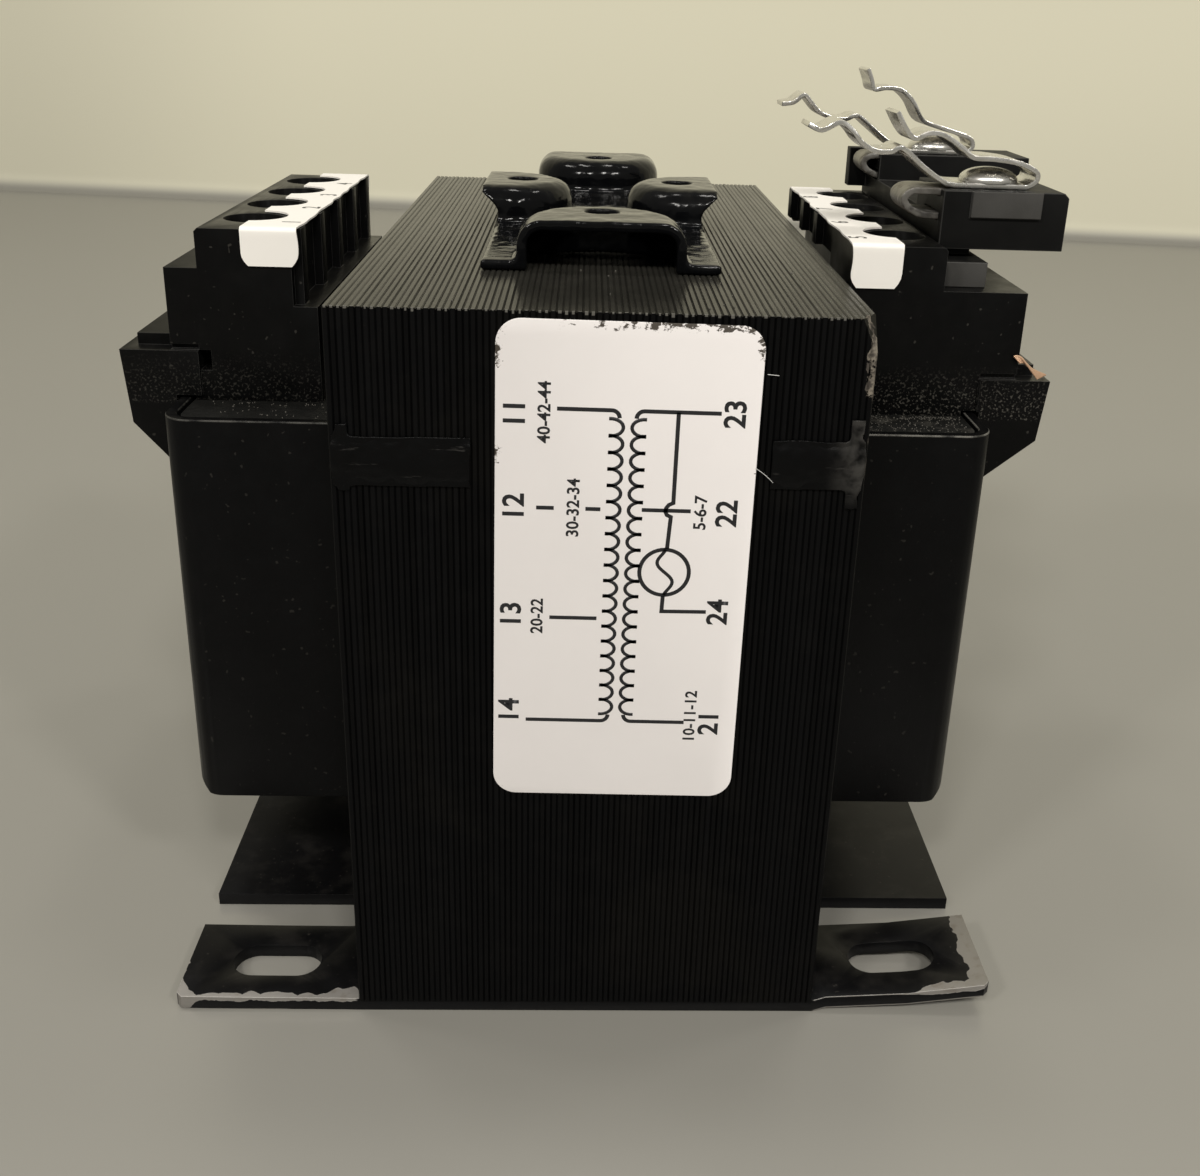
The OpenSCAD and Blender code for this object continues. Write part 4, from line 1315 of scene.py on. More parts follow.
@dataclass
class LaminatedCore:
    """The stack of steel plates with its varnish, weld lumps and rubbed top edge."""

    plates: int = 84
    burr: tuple[float, float, float] = (0.36, 0.16, 0.42)
    lump_voxel: float = 0.24

    def build(self, nodes: dict[str, bpy.types.Object]) -> None:
        """Dress the plates and add what lies on them.

        Args:
            nodes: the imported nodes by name.
        """
        for name in ("e_laminations", "i_laminations"):
            dress(nodes[name], PLATES.build())
        self.build_lumps(nodes)
        self.build_burrs()

    def build_lumps(self, nodes: dict[str, bpy.types.Object]) -> None:
        """Melt the weld lumps into uneven drips.

        Args:
            nodes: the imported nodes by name.
        """
        box = Box.of("core_weld_beads")
        lumps = flow(clean_copy(nodes["core_weld_beads"], "varnish_lumps", 0), self.lump_voxel, 3)

        def drip(place: Vector) -> float:
            """Give the unevenness."""
            wave = noise.noise(place * 0.35) + 0.5 * noise.noise(place * 1.1)
            return 0.16 * wave - 0.12

        swell(lumps, drip)
        for vertex in lumps.data.vertices:
            vertex.co.y = max(box.low.y * MM, min(box.high.y * MM, vertex.co.y))
        ride(dress(lumps, LUMP_VARNISH.build()), "varnished_core", "core_weld_beads")

    def build_burrs(self) -> None:
        """Set a rubbed burr on each plate along the top front edge."""
        stack = Box.of("i_laminations")
        pitch = stack.size.x / self.plates
        wide, deep, high = self.burr
        seed_mesh = block((-wide / 2, -deep / 2, -high), (wide / 2, deep / 2, 0))
        start = Vector((stack.low.x + 0.5 * pitch, stack.low.y + deep / 2 - 0.01, stack.high.z + 0.02))
        step = Vector((pitch, 0, 0))
        jitter = (0.55, 0.5, 0.35)
        burrs = row_of("top_edge_burrs", seed_mesh, start, step, self.plates - 4, 0, BURR_METAL, jitter, seed=11)
        round_edges(burrs, 0.05, 1)
        ride(dress(burrs, BURR_METAL.build()), "varnished_core")


# ---- plates ----------------------------------------------------------------------------------


@dataclass
class MountingPlate:
    """The sheared and painted plate under the core."""

    rounding: float = 0.22

    def build(self, nodes: dict[str, bpy.types.Object]) -> None:
        """Round the plate's edges and flake its paint.

        Args:
            nodes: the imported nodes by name.
        """
        plate = round_edges(clean_copy(nodes["mounting_plate"], "chipped_mounting_plate"), self.rounding)
        ride(dress(plate, PAINTED_PLATE.build()), "plate_enamel", "mounting_plate")


@dataclass
class AccessoryPlate:
    """The pressed plate with four domes, dipped in thick varnish."""

    voxel: float = 0.24
    passes: int = 3
    drip: float = 0.055
    waist: float = 1.1
    lip: float = 5.5

    def build(self, nodes: dict[str, bpy.types.Object]) -> None:
        """Melt the pressing into a varnished skin.

        Args:
            nodes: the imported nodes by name.
        """
        box = Box.of("accessory_plate")
        plate = flow(clean_copy(nodes["accessory_plate"], "dipped_accessory_plate", 0), self.voxel, self.passes)

        def drip(place: Vector) -> float:
            """Give the varnish's thickness, thicker in runs."""
            return self.drip * (noise.noise(place * 0.45) + 0.45 * noise.noise(place * 1.5)) - 0.02

        swell(plate, drip)
        self.draw_in(plate, box)
        for vertex in plate.data.vertices:
            vertex.co.z = max(vertex.co.z, (box.low.z - 0.02) * MM)
        ride(dress(plate, WET_VARNISH.build()), "gloss_enamel", "accessory_plate")

    def draw_in(self, plate: bpy.types.Object, box: Box) -> None:
        """Draw the walls of the two side domes in below their flared lips.

        Args:
            plate: the melted pressing.
            box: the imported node's box.
        """
        for vertex in plate.data.vertices:
            place = vertex.co / MM
            side = place.x - box.middle.x
            near = 1 - (box.size.x / 2 - abs(side)) / self.lip
            share = (place.z - box.low.z) / box.size.z
            if near <= 0 or not 0.1 < share < 0.86 or abs(place.y - box.middle.y) > 12:
                continue
            pull = self.waist * min(1.0, near * 1.5) * math.sin(math.pi * (share - 0.1) / 0.76) ** 1.3
            vertex.co.x -= math.copysign(pull * MM, side)


# ---- coil ------------------------------------------------------------------------------------


@dataclass
class Coil:
    """The winding under its two dipped covers."""

    rounding: float = 0.25

    def build(self, nodes: dict[str, bpy.types.Object]) -> None:
        """Dress the winding and round the covers.

        Args:
            nodes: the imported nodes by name.
        """
        dress(nodes["coil_former"], LEDGE.build())
        for name in ("primary_winding", "secondary_winding"):
            dress(nodes[name], WINDING_WIRE.build())
        for name in ("winding_insulation", "coil_wrap"):
            dress(nodes[name], WRAP_PAPER.build())
        for name in ("primary_coil_cover", "secondary_coil_cover"):
            cover = round_edges(clean_copy(nodes[name], f"dipped_{name}"), self.rounding, 3)
            ride(dress(cover, COVER_SKIN.build()), "cover_moulding", name)


# ---- terminals -------------------------------------------------------------------------------


@dataclass
class TerminalBlock:
    """One row of screw terminals with its strip of numbers."""

    side: Side
    numbers: tuple[str, str, str, str]
    rounding: float = 0.36
    strip: float = 0.2
    bend: float = 0.55
    well: float = 3.8
    head: tuple[tuple[float, float], ...] = (
        (0.0, 0.0), (2.95, 0.0), (3.0, 0.1), (3.0, 1.5), (2.75, 2.0), (2.0, 2.18), (0.0, 2.2),
    )

    @property
    def word(self) -> str:
        """Give the side's name in the nodes."""
        return self.side.name.lower()

    def build(self, nodes: dict[str, bpy.types.Object]) -> None:
        """Dress the block, its screws, its clamps and its strip.

        Args:
            nodes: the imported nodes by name.
        """
        name = f"{self.word}_terminal_block"
        body = clean_copy(nodes[name], f"moulded_{name}")
        dress(body, TERMINAL_PLASTIC.build(), RUBBED_EDGE_HIGHLIGHT.build())
        # its rounded edges take the paler finish: rubbing and a painted highlight
        round_edges(body, self.rounding, 2, 1)
        ride(body, "terminal_moulding", name)
        dress(nodes[f"{self.word}_wire_cages"], CLAMP_METAL.build())
        self.build_screws()
        self.build_strip()

    def screw_places(self) -> list[float]:
        """Give the Y of each screw, from the front."""
        box = Box.of(f"{self.word}_terminal_screws")
        step = (box.size.y - box.size.x) / 3
        return [box.low.y + box.size.x / 2 + k * step for k in range(4)]

    def build_screws(self) -> None:
        """Repeat one slotted screw in the four wells."""
        box = Box.of(f"{self.word}_terminal_screws")
        head_height = self.head[-1][1]
        shank = box.size.z - head_height
        profile = [(0.0, -shank), (1.5, -shank), (1.75, 0.3 - shank), (1.75, -0.01), *self.head[1:]]
        screw = lathe("screw_seed", profile)
        slot = link("slot_seed", block((-4, -0.5, head_height - 1.1), (4, 0.5, head_height + 1)))
        cut = screw.modifiers.new("Slot", "BOOLEAN")
        cut.object = slot
        cut.solver = "EXACT"
        settle(screw)
        bpy.data.objects.remove(slot)
        places = self.screw_places()
        start = Vector((box.middle.x, places[0], box.high.z - head_height))
        step = Vector((0, places[1] - places[0], 0))
        turn = 50 if self.side is Side.PRIMARY else -35
        row = row_of(f"{self.word}_slotted_screws", screw.data, start, step, 4, turn, SCREW_BRASS)
        bpy.data.objects.remove(screw)
        soften_shading(row, 30)
        ride(row, "screw_brass", f"{self.word}_terminal_screws")

    def build_strip(self) -> None:
        """Bend a strip of film over the row, cut it round the wells and print its numbers."""
        name = f"{self.word}_marker_strip"
        box = Box.of(name)
        path = self.fold(box.low.y, box.high.y, box.high.z, box.size.z, self.bend)
        columns = 14
        outer = box.high.x if self.side is Side.SECONDARY else box.low.x
        inner = box.low.x if self.side is Side.SECONDARY else box.high.x
        shape = bmesh.new()
        rows = []
        for k, (y, z) in enumerate(path):
            ragged = 0.28 * noise.noise(Vector((3.1 * self.side.value, y * 0.35, z * 0.35)))
            start = inner + self.side.value * (0.32 + ragged)
            round_end = 0.7 * max(0.0, 1 - min(k, len(path) - 1 - k) / 3) ** 2
            ends = (start + self.side.value * round_end, outer - self.side.value * (0.05 + round_end))
            line = [ends[0] + (ends[1] - ends[0]) * c / columns for c in range(columns + 1)]
            rows.append([shape.verts.new(Vector((x, y, z)) * MM) for x in line])
        for low, high in zip(rows, rows[1:]):
            for c in range(columns):
                shape.faces.new((low[c], low[c + 1], high[c + 1], high[c]))
        bmesh.ops.recalc_face_normals(shape, faces=shape.faces)
        film = from_bmesh(f"folded_{name}", shape)
        up = max(film.data.polygons, key=lambda p: abs(p.normal.z)).normal.z
        thick = film.modifiers.new("Film", "SOLIDIFY")
        thick.thickness = self.strip * MM
        thick.offset = -1.0 if up > 0 else 1.0
        film = self.cut_wells(film, box)
        soften_shading(film, 50)
        ride(dress(film, STRIP_PAPER.build()), "printed_strip", name)
        self.print_numbers(box, inner)

    @staticmethod
    def fold(front: float, rear: float, top: float, drop: float, bend: float) -> list[tuple[float, float]]:
        """Give the strip's path in Y and Z: up the front, over the top and down the rear.

        Args:
            front: the Y of the front fold's outer face.
            rear: the Y of the rear fold's outer face.
            top: the height of the strip's upper face.
            drop: how far the folds hang down.
            bend: the radius of the folds.

        Returns:
            The points in order.
        """
        arc = [math.pi / 2 * k / 5 for k in range(6)]
        rising = [(front, top - drop + (drop - bend) * k / 8) for k in range(8)]
        over = [(front + bend * (1 - math.cos(a)), top - bend * (1 - math.sin(a))) for a in arc]
        count = 56
        span = rear - front - 2 * bend
        along = [(front + bend + span * k / count, top) for k in range(1, count)]
        down = [(rear - bend * (1 - math.cos(a)), top - bend * (1 - math.sin(a))) for a in reversed(arc)]
        falling = [(rear, top - bend - (drop - bend) * k / 8) for k in range(1, 9)]
        return rising + over + along + down + falling

    def cut_wells(self, film: bpy.types.Object, box: Box) -> bpy.types.Object:
        """Cut the strip away round the four wells.

        Args:
            film: the strip with its thickness as a modifier.
            box: the box of the strip.

        Returns:
            The cut strip.
        """
        screws = Box.of(f"{self.word}_terminal_screws")
        low, high = box.high.z - 2, box.high.z + 2
        profile = [(0.0, low), (self.well, low), (self.well, high), (0.0, high)]
        tools = []
        for k, y in enumerate(self.screw_places()):
            tool = lathe(f"well_{k}", profile, 56)
            tool.data.transform(Matrix.Translation(Vector((screws.middle.x, y, 0)) * MM))
            tools.append(tool)
        cutter = join("well_cutter", tools)
        cut = film.modifiers.new("Wells", "BOOLEAN")
        cut.object = cutter
        cut.solver = "EXACT"
        settle(film)
        bpy.data.objects.remove(cutter)
        return film

    def print_numbers(self, box: Box, inner: float) -> None:
        """Print a plain number beside each well.

        Args:
            box: the box of the strip.
            inner: the strip's edge nearer to the core.
        """
        letters = []
        for number, y in zip(self.numbers, self.screw_places()):
            x = inner + self.side.value * 1.6
            upright = Matrix.Rotation(math.radians(90), 4, "Z")
            spot = Matrix.Translation(Vector((x, y - 4.2, box.high.z + 0.012)) * MM) @ upright
            letters.append(print_text(number, 2.1, spot))
        ink = dress(join(f"{self.word}_strip_numbers", letters), INK.build())
        ride(ink, "printed_strip")


def print_text(words: str, height: float, spot: Matrix, weight: float = 0.02) -> bpy.types.Object:
    """Print a plain number as flat ink.

    Args:
        words: the number.
        height: the height of its figures in millimetres.
        spot: where its middle goes, and how it is turned.
        weight: how much bolder the figures are than the plain face, as a share of their height.

    Returns:
        The ink as a mesh.
    """
    curve = bpy.data.curves.new(f"ink_{words}", "FONT")
    curve.body = words
    curve.size = height * MM / 0.73
    curve.align_x = "CENTER"
    curve.align_y = "CENTER"
    curve.offset = height * MM * weight
    curve.resolution_u = 3
    holder = bpy.data.objects.new("ink_source", curve)
    bpy.context.scene.collection.objects.link(holder)
    graph = bpy.context.evaluated_depsgraph_get()
    mesh = bpy.data.meshes.new_from_object(holder.evaluated_get(graph), depsgraph=graph)
    bpy.data.objects.remove(holder)
    mesh.transform(spot)
    return link(f"ink_{words}", mesh)


# ---- wiring label ----------------------------------------------------------------------------


@dataclass
class WiringLabel:
    """The film label with a plain diagram of two windings.

    The diagram is drawn in the label's own plane: first across, then up, from its centre.
    """

    turn: float = 0.6
    stroke: float = 0.4
    top_lead: float = 16.9
    pitch: float = 1.67
    bulge: float = 1.45
    left_taps: tuple[int, ...] = (0, 6, 13, 20)
    large: tuple[tuple[str, float, float], ...] = (
        ("11", -10.6, 16.3), ("12", -10.6, 6.9), ("13", -10.75, -4.6), ("14", -10.85, -15.5),
        ("23", 10.2, 16.9), ("22", 10.05, 6.8), ("24", 9.85, -3.8), ("21", 9.75, -16.5),
    )
    small: tuple[tuple[str, float, float], ...] = (
        ("40-42-44", -7.85, 16.5), ("30-32-34", -4.9, 6.95), ("20-22", -8.2, -4.7),
        ("10-11-12", 7.75, -15.8), ("5-6-7", 7.45, 6.8),
    )
    leads: tuple[tuple[tuple[float, float], ...], ...] = (
        ((-8.5, 6.9), (-6.8, 6.9)), ((-3.75, 6.9), (-2.3, 6.9)), ((-7.0, -4.8), (-2.3, -4.8)),
        ((1.7, 6.95), (6.45, 6.95)),
        ((4.75, 16.9), (4.72, 7.75), (4.3, 7.55), (4.05, 7.2), (4.0, 6.85), (4.15, 6.5), (4.55, 6.3), (4.35, 2.9)),
        ((4.2, -2.15), (4.15, -3.85), (8.6, -3.8)),
    )
    lamp: tuple[float, float, float] = (4.2, 0.4, 2.45)
    hook: float = 0.75

    def build(self, nodes: dict[str, bpy.types.Object]) -> None:
        """Dress the film and print the diagram.

        Args:
            nodes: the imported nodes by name.
        """
        film = round_edges(clean_copy(nodes["wiring_label"], "film_label"), 0.05, 2)
        ride(dress(film, LABEL_PAPER.build()), "printed_label", "wiring_label")
        strokes = [self.winding(side) for side in Side]
        strokes += [self.line(f"lead_{k}", points) for k, points in enumerate(self.all_leads())]
        strokes.append(self.line("lamp_ring", self.ring(), closed=True))
        strokes.append(self.line("lamp_wave", self.wave(), width=0.34))
        upright = Matrix.Rotation(math.radians(90), 4, "Z")
        for sizes, height in ((self.large, 2.1), (self.small, 1.22)):
            for words, a, b in sizes:
                spot = Matrix.Translation(Vector((a, b, 0)) * MM) @ upright
                strokes.append(print_text(words, height, spot, 0.03))
        ink = dress(join("label_print", strokes), INK.build())
        ink.data.transform(self.onto_label())
        ride(ink, "printed_label")

    def onto_label(self) -> Matrix:
        """Give the way from the label's plane to the front of the core."""
        box = Box.of("wiring_label")
        centre = Vector((box.middle.x, box.low.y - 0.012, box.middle.z)) * MM
        stand = Matrix.Rotation(math.radians(90), 4, "X")
        return Matrix.Translation(centre) @ Matrix.Rotation(math.radians(self.turn), 4, "Y") @ stand

    def all_leads(self) -> list[tuple[tuple[float, float], ...]]:
        """Give every lead of the diagram, with the four that curve into the windings.

        Returns:
            The points of each lead.
        """
        bottom = self.top_lead - self.pitch * self.left_taps[-1]
        arc = [math.pi / 2 * k / 6 for k in range(7)]
        curved = []
        for side, start_top, start_bottom in ((-1, -6.7, -9.2), (1, 8.8, 7.1)):
            for level, start, down in ((self.top_lead, start_top, -1), (bottom, start_bottom, 1)):
                reach = side * 1.55
                bend = [
                    (reach - side * self.hook * math.sin(a), level + down * self.hook * (1 - math.cos(a)))
                    for a in arc
                ]
                curved.append(((start, level), *bend))
        return [*self.leads, *curved]

    def winding(self, side: Side) -> bpy.types.Object:
        """Repeat one scallop down a winding.

        Args:
            side: the side of the diagram.

        Returns:
            The winding's ink.
        """
        count = self.left_taps[-1] - 1
        tree = GeometryTree(f"{side.name.lower()}_scallops")
        number = tree.size("Count", count)
        step = tree.size("Pitch", (0.0, -self.pitch * MM, 0.0))
        start = tree.size("Start", (side.value * 1.62 * MM, (self.top_lead - self.pitch) * MM, 0.0))
        inputs = {"Count": number, "Start Location": start, "Offset": step}
        line = tree.add("GeometryNodeMeshLine", inputs, mode="OFFSET")
        sweep = math.radians(196)
        facing = math.pi if side is Side.SECONDARY else 0.0
        inputs = {
            "Resolution": 14,
            "Radius": self.pitch / 2 * MM,
            "Start Angle": facing - sweep / 2,
            "Sweep Angle": sweep,
        }
        arc = tree.add("GeometryNodeCurveArc", inputs, mode="RADIUS")
        shaped = tree.add("GeometryNodeTransform", {"Geometry": arc.outputs[0], "Scale": (self.bulge, 1.03, 1.0)})
        inputs = {"Points": line.outputs[0], "Instance": shaped.outputs[0]}
        placed = tree.add("GeometryNodeInstanceOnPoints", inputs)
        joined = tree.add("GeometryNodeRealizeInstances", {"Geometry": placed.outputs[0]})
        inputs = {"Width": self.stroke * 0.85 * MM, "Height": 0.012 * MM}
        pen = tree.add("GeometryNodeCurvePrimitiveQuadrilateral", inputs)
        inputs = {"Curve": joined.outputs[0], "Profile Curve": pen.outputs[0], "Fill Caps": True}
        inked = tree.add("GeometryNodeCurveToMesh", inputs)
        tree.finish(inked.outputs[0], INK.build())
        return tree.bake(f"{side.name.lower()}_winding_ink", bpy.data.meshes.new("empty"))

    def ring(self) -> list[tuple[float, float]]:
        """Give the lamp's circle."""
        a, b, r = self.lamp
        return [(a + r * math.cos(2 * math.pi * k / 40), b + r * math.sin(2 * math.pi * k / 40)) for k in range(40)]

    def wave(self) -> list[tuple[float, float]]:
        """Give the S-shaped wire in the lamp.

        Returns:
            The points of the wire, from the top down.
        """
        a, b, r = self.lamp
        points = []
        for t in (k / 24 for k in range(25)):
            sway = 0.95 * math.sin(2 * math.pi * t) * (0.35 + 0.65 * math.sin(math.pi * t))
            points.append((a + 0.05 - sway, b + r * (1 - 2 * t)))
        return points

    def line(
        self, name: str, points: Sequence[tuple[float, float]], closed: bool = False, width: float = 0.0
    ) -> bpy.types.Object:
        """Draw one flat stroke.

        Args:
            name: the stroke's name.
            points: its points in the label's plane.
            closed: whether it runs back to its start.
            width: its width, or 0 for the usual one.

        Returns:
            The stroke as a mesh.
        """
        half = (width or self.stroke) / 2
        spots = [Vector((a, b)) for a, b in points]
        count = len(spots)
        shape = bmesh.new()
        pairs = []
        for k, spot in enumerate(spots):
            before = spots[(k - 1) % count] if closed or k else spot
            after = spots[(k + 1) % count] if closed or k < count - 1 else spot
            ahead, behind = after - spot, spot - before
            way = (ahead.normalized() + behind.normalized()).normalized()
            across = Vector((-way.y, way.x))
            stretch = 1.0
            if ahead.length and behind.length:
                stretch = 1 / max(0.5, abs(across.dot(Vector((-behind.y, behind.x)).normalized())))
            aside = across * half * stretch
            pairs.append([shape.verts.new(Vector((*(spot + aside * s), 0.0)) * MM) for s in (1, -1)])
        for k in range(count if closed else count - 1):
            near, far = pairs[k], pairs[(k + 1) % count]
            shape.faces.new((near[0], near[1], far[1], far[0]))
        return from_bmesh(name, shape)


# ---- fuse holder -----------------------------------------------------------------------------


@dataclass
class FuseHolder:
    """The fuse block with its two spring clips, rivets and tinned straps."""

    rounding: float = 0.4
    sheet_rounding: float = 0.07
    tip_pinch: float = 0.15
    rim: float = 0.25
    dome: float = 1.35
    stagger: float = 1.8
    patches: tuple[tuple[float, ...], ...] = (
        (41.6, 49.6, 86.1, 89.0, -17.95),
        (38.4, 43.5, 78.7, 81.5, -20.3),
    )

    def build(self, nodes: dict[str, bpy.types.Object]) -> None:
        """Dress the block and finish its metal parts.

        Args:
            nodes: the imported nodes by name.
        """
        body = clean_copy(nodes["fuse_block"], "moulded_fuse_block")
        dress(body, FUSE_PLASTIC.build(), RUBBED_EDGE_HIGHLIGHT.build())
        # its rounded edges take the paler finish: rubbing and a painted highlight
        round_edges(body, self.rounding, 3, 1)
        self.rub_front(body)
        ride(body, "fuse_moulding", "fuse_block")
        for name in ("front_fuse_clip", "rear_fuse_clip"):
            self.build_clip(nodes, name)
        self.build_rivets()
        straps = flow(clean_copy(nodes["fuse_link_straps"], "tinned_straps", 0), 0.16, 2)
        swell(straps, lambda place: 0.05 * noise.noise(place * 1.4))
        ride(dress(straps, DULL_TIN.build()), "dull_tinned_strap", "fuse_link_straps")

    def rub_front(self, body: bpy.types.Object) -> None:
        """Give the raised patch on the block's front and the front of its foot their rubbed finish.

        Args:
            body: the fuse block.
        """
        body.data.materials.append(RUBBED_PATCH.build())
        for left, right, low, high, front in self.patches:
            for face in body.data.polygons:
                centre = face.center / MM
                level = abs(centre.y - front) < 0.35
                if level and left - 0.1 < centre.x < right + 0.1 and low - 0.1 < centre.z < high + 0.1:
                    face.material_index = 2

    def build_clip(self, nodes: dict[str, bpy.types.Object], name: str) -> None:
        """Round a clip's sheet and narrow its two tips.

        Args:
            nodes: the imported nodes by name.
            name: the clip's node.
        """
        box = Box.of(name)
        clip = clean_copy(nodes[name], f"sprung_{name}")
        half = box.size.y / 2
        for vertex in clip.data.vertices:
            place = vertex.co / MM
            reach = max(0.0, 1 - (place.x - box.low.x) / 2.2)
            share = (place.y - box.middle.y) / half
            vertex.co.y = (box.middle.y + half * share * (1 - self.tip_pinch * reach * reach)) * MM
        round_edges(clip, self.sheet_rounding, 2)
        soften_shading(clip, 28)
        ride(dress(clip, TIN.build()), "tinned_clip", name)

    def build_rivets(self) -> None:
        """Turn the two domed rivets."""
        box = Box.of("fuse_clip_rivets")
        radius = (box.size.x - self.stagger) / 2
        profile = [(0.0, -7.0), (1.45, -7.0), (1.45, 0.0), (radius, 0.0), (radius + 0.02, self.rim)]
        steps = [math.radians(90 * k / 10) for k in range(1, 11)]
        profile += [(radius * math.cos(a), self.rim + self.dome * math.sin(a)) for a in steps]
        seats = [(box.low.x + radius, box.low.y + radius, -0.4), (box.high.x - radius, box.high.y - radius, 0.0)]
        seat = box.high.z - self.rim - self.dome
        heads = []
        for k, (x, y, lower) in enumerate(seats):
            head = lathe(f"rivet_{k}", profile, 56)
            head.data.transform(Matrix.Translation(Vector((x, y, seat + lower)) * MM))
            heads.append(dress(head, TIN.build()))
        ride(soften_shading(join("domed_rivets", heads), 40), "tinned_clip", "fuse_clip_rivets")


# ---- crumbs and strands ------------------------------------------------------------------------


@dataclass
class Litter:
    """The crumbs of varnish, the copper strand and the fibres that use has left."""

    crumb: float = 0.13
    strand: float = 0.13
    hair: float = 0.035
    shelf_front: float = -29.3
    secondary_shelf: tuple[float, float] = (27.5, 41.5)
    primary_shelf: tuple[float, float] = (-43.5, -27.5)
    primary_share: float = 0.18

    def build(self) -> None:
        """Scatter the crumbs and lay the strands."""
        self.build_crumbs()
        self.build_copper()
        self.build_fibres()

    def build_crumbs(self) -> None:
        """Scatter crumbs on the ledges in front of both terminal blocks and on the core's top."""
        level = Box.of("coil_former").high.z + 0.03
        beds = []
        for side in Side:
            name = side.name.lower()
            front = Box.of(f"{name}_terminal_block").low.y
            secondary = side is Side.SECONDARY
            left, right = self.secondary_shelf if secondary else self.primary_shelf
            share = 1.0 if secondary else self.primary_share
            ledge = flat_patch(left, right, self.shelf_front, front - 0.1, level)
            foot = flat_patch(left, right, front - 1.2, front - 0.05, level)
            beds.append(crumb_bed(f"{name}_ledge_crumbs", ledge, 2.2 * share, self.crumb, 5, CRUMB))
            beds.append(crumb_bed(f"{name}_foot_crumbs", foot, 8.0 * share, self.crumb, 9, CRUMB))
        core = Box.of("i_laminations")
        top = flat_patch(core.low.x + 2, core.high.x - 2, core.low.y + 1, core.low.y + 22, core.high.z + 0.02)
        beds.append(crumb_bed("core_top_crumbs", top, 0.02, 0.16, 21, CRUMB))
        ride(dress(join("varnish_crumbs", beds), CRUMB.build()), "former_moulding")

    def build_copper(self) -> None:
        """Lay a frayed copper strand from the secondary body's front corner onto its shelf."""
        body = Box.of("secondary_terminal_block")
        corner = Vector((47.3, body.low.y + 0.2, 0.0))
        strands = []
        for k in range(7):
            fan = (k - 3) / 3
            rise, reach = 72.1 - 0.12 * k, 2.6 + 0.25 * k
            points = [
                (-0.5 + 0.12 * k, -0.15, rise - 0.5), (0.1 + 0.1 * k, 0.0, rise - 0.2 - 0.1 * abs(fan)),
                (0.45 * reach, 0.35 + 0.5 * fan, rise - 1.4), (reach, 0.8 + 0.9 * fan, 69.05),
            ]
            strands.append(self.wire(f"copper_{k}", [corner + Vector(p) for p in points], self.strand))
        ride(dress(join("copper_strand", strands), COPPER.build()), "screw_brass")

    def build_fibres(self) -> None:
        """Leave a few pale fibres beside the label."""
        label = Box.of("wiring_label")
        skin = label.low.y - 0.03
        side = label.high.x
        lines = [
            [(side - 0.2, skin, 66.2), (side + 0.9, skin - 0.2, 65.6), (side + 1.7, skin, 64.6)],
            [(side + 0.3, skin, 75.5), (side + 1.4, skin, 75.4)],
        ]
        hairs = [self.wire(f"fibre_{k}", [Vector(p) for p in points], self.hair) for k, points in enumerate(lines)]
        ride(dress(join("pale_fibres", hairs), FIBRE.build()), "printed_label")

    @staticmethod
    def wire(name: str, points: Sequence[Vector], radius: float) -> bpy.types.Object:
        """Draw a thin round wire through points in millimetres.

        Args:
            name: the wire's name.
            points: the points that it passes.
            radius: its radius in millimetres.

        Returns:
            The wire as a mesh.
        """
        curve = bpy.data.curves.new(name, "CURVE")
        curve.dimensions = "3D"
        curve.bevel_depth = radius * MM
        curve.bevel_resolution = 2
        curve.resolution_u = 8
        curve.use_fill_caps = True
        spline = curve.splines.new("NURBS")
        spline.points.add(len(points) - 1)
        for target, spot in zip(spline.points, points):
            target.co = (*(spot * MM), 1.0)
        spline.use_endpoint_u = True
        spline.order_u = 3
        holder = bpy.data.objects.new(name, curve)
        bpy.context.scene.collection.objects.link(holder)
        graph = bpy.context.evaluated_depsgraph_get()
        mesh = bpy.data.meshes.new_from_object(holder.evaluated_get(graph), depsgraph=graph)
        bpy.data.objects.remove(holder)
        return link(name, mesh)


# ---- studio ----------------------------------------------------------------------------------


@dataclass(frozen=True)
class Lamp:
    """One rectangular soft light, in millimetres."""

    name: str
    place: tuple[float, float, float]
    aim: tuple[float, float, float]
    size: tuple[float, float]
    watts: float
    tint: Colour = (1.0, 0.97, 0.92)

    def build(self) -> None:
        """Put the light into the scene."""
        data = bpy.data.lights.new(self.name, "AREA")
        data.shape = "RECTANGLE"
        data.size, data.size_y = self.size[0] * MM, self.size[1] * MM
        data.energy = self.watts
        data.color = self.tint
        lamp = bpy.data.objects.new(self.name, data)
        bpy.context.scene.collection.objects.link(lamp)
        lamp.location = Vector(self.place) * MM
        way = Vector(self.aim) - Vector(self.place)
        lamp.rotation_euler = way.to_track_quat("-Z", "Y").to_euler()


def lamp_row(name: str, depth: float, height: float, spacing: float, watts: float) -> tuple[Lamp, ...]:
    """Hang four equal small lamps in a row across the room.

    Args:
        name: the row's name.
        depth: the row's place along Y in millimetres.
        height: its height in millimetres.
        spacing: the way from one lamp to the next in millimetres.
        watts: the power of each lamp.

    Returns:
        The lamps.
    """
    places = [((k - 1.5) * spacing - 40.0, depth, height) for k in range(4)]
    return tuple(Lamp(f"{name}_{k}", place, (0, 0, 50), (110, 110), watts) for k, place in enumerate(places))


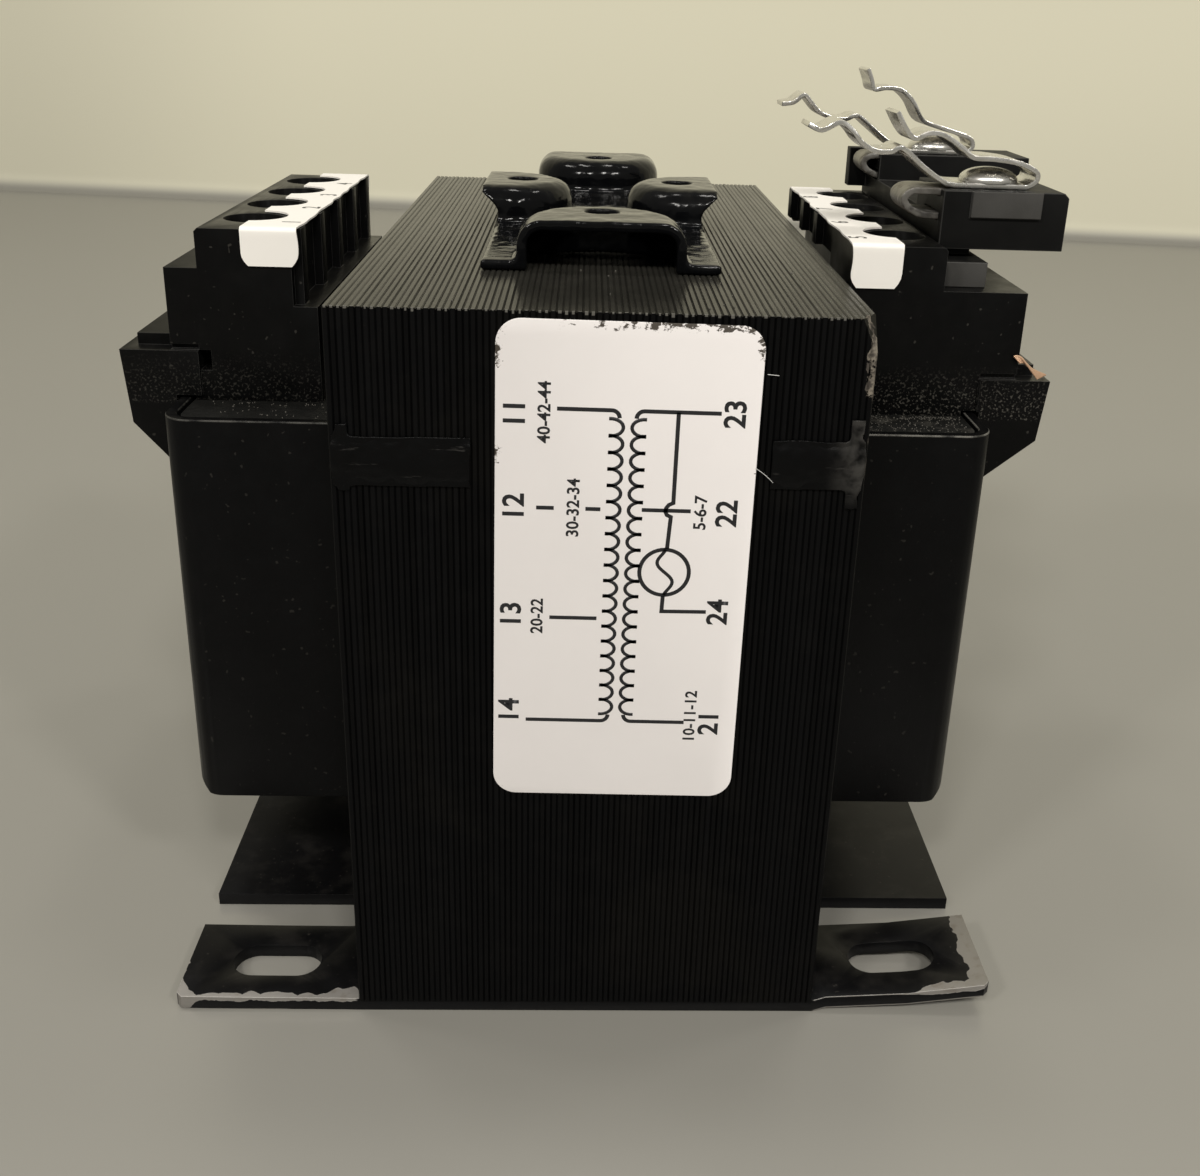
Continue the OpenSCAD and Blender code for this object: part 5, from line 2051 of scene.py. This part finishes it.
@dataclass
class Studio:
    """The camera, the lights and the pale floor with its backdrop."""

    eye: tuple[float, float, float] = (-1.84, -163.51, 107.00)
    heading: float = 2.417
    dip: float = 21.034
    roll: float = 1.94
    lens: float = 38.6
    shift: tuple[float, float] = (-0.0253, -0.0712)
    floor_colour: Colour = (0.255, 0.247, 0.222)
    wall_colour: Colour = (0.30, 0.29, 0.24)
    wall_glow: Colour = (0.40, 0.37, 0.26)
    stage_reach: float = 1600.0
    stage_depth: float = 550.0
    stage_height: float = 900.0
    stage_bend: float = 10.0
    stage_skew: float = -0.128
    lamps: tuple[Lamp, ...] = (*lamp_row("front", -650, 700, 380, 2.6), *lamp_row("top", 130, 900, 330, 0.75))

    def build(self) -> None:
        """Set the camera, the lamps, the world and the stage."""
        self.build_camera()
        for lamp in self.lamps:
            lamp.build()
        self.build_world()
        self.build_stage()
        bpy.context.scene.view_settings.view_transform = "Standard"

    def build_camera(self) -> None:
        """Aim the camera by its heading, dip and roll."""
        data = bpy.data.cameras.new("camera")
        data.sensor_width = 36.0
        data.lens = self.lens
        data.shift_x, data.shift_y = self.shift
        data.clip_start = 0.01
        data.clip_end = 20.0
        camera = bpy.data.objects.new("camera", data)
        bpy.context.scene.collection.objects.link(camera)
        heading = Matrix.Rotation(-math.radians(self.heading), 4, "Z")
        pitch = Matrix.Rotation(math.radians(90 - self.dip), 4, "X")
        roll = Matrix.Rotation(math.radians(self.roll), 4, "Z")
        camera.matrix_world = Matrix.Translation(Vector(self.eye) * MM) @ heading @ pitch @ roll
        bpy.context.scene.camera = camera

    def build_world(self) -> None:
        """Light everything faintly from all round."""
        world = bpy.data.worlds.new("room")
        bpy.context.scene.world = world
        world.use_nodes = True
        back = world.node_tree.nodes["Background"]
        back.inputs["Color"].default_value = (0.92, 0.89, 0.80, 1.0)
        back.inputs["Strength"].default_value = 0.32

    def build_stage(self) -> None:
        """Lay the floor and curve it up into the backdrop."""
        reach, depth, bend = self.stage_reach, self.stage_depth, self.stage_bend
        arc = [math.pi / 2 * k / 10 for k in range(11)]
        path = [(-1500.0, 0.0), (-400.0, 0.0)]
        path += [(depth - bend + bend * math.sin(a), bend * (1 - math.cos(a))) for a in arc]
        path.append((depth, self.stage_height))
        shape = bmesh.new()
        rows = []
        for y, z in path:
            ends = [Vector((x, y + self.stage_skew * x, z)) * MM for x in (-reach, reach)]
            rows.append([shape.verts.new(end) for end in ends])
        for low, high in zip(rows, rows[1:]):
            shape.faces.new((low[0], low[1], high[1], high[0]))
        stage = from_bmesh("stage", shape)
        stage.data.shade_smooth()
        dress(stage, self.stage_paint())

    def stage_paint(self) -> bpy.types.Material:
        """Paint the floor and the wall, and make the wall glow.

        Returns:
            The stage's material.
        """
        material = bpy.data.materials.new("stage_paint")
        material.use_nodes = True
        tree = ShaderTree(material.node_tree)
        shader = material.node_tree.nodes["Principled BSDF"]
        x, _, z = tree.axes(tree.place())
        rise = tree.rise(z, 0.8, 7.0)
        # the wall's glow is painted dimmer towards the left and towards the floor, as painted shade on the backdrop
        fade = tree.blend(tree.rise(x, -330.0, -140.0), 0.72, 1.0)
        fade = tree.math("MULTIPLY", fade, tree.blend(tree.rise(z, 0.0, 110.0), 0.88, 1.0))
        tree.feed(shader.inputs["Base Color"], tree.mix(rise, self.floor_colour, self.wall_colour))
        # the wall glows only for what is seen straight or in a mirror, so it adds no light to the object
        ways = tree.add("ShaderNodeLightPath").outputs
        seen = tree.math("MAXIMUM", ways["Is Camera Ray"], ways["Is Glossy Ray"])
        seen = tree.math("MAXIMUM", seen, ways["Is Transmission Ray"])
        shown = tree.math("MULTIPLY", tree.math("MULTIPLY", rise, seen), fade)
        tree.feed(shader.inputs["Emission Color"], tree.mix(shown, (0.0, 0.0, 0.0), self.wall_glow))
        shader.inputs["Emission Strength"].default_value = 1.0
        tree.feed(shader.inputs["Roughness"], tree.blend(rise, 0.3, 0.9))
        shader.inputs["Specular IOR Level"].default_value = 0.7
        return material


def main() -> None:
    """Build the dressed transformer and its studio."""
    logging.basicConfig(level=logging.INFO, format="%(message)s")
    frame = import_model()
    nodes = frame["nodes"]
    LaminatedCore().build(nodes)
    MountingPlate().build(nodes)
    AccessoryPlate().build(nodes)
    Coil().build(nodes)
    TerminalBlock(Side.PRIMARY, ("1", "2", "3", "4")).build(nodes)
    TerminalBlock(Side.SECONDARY, ("5", "6", "7", "8")).build(nodes)
    WiringLabel().build(nodes)
    FuseHolder().build(nodes)
    Litter().build()
    Studio().build()


if __name__ == "__main__":
    main()
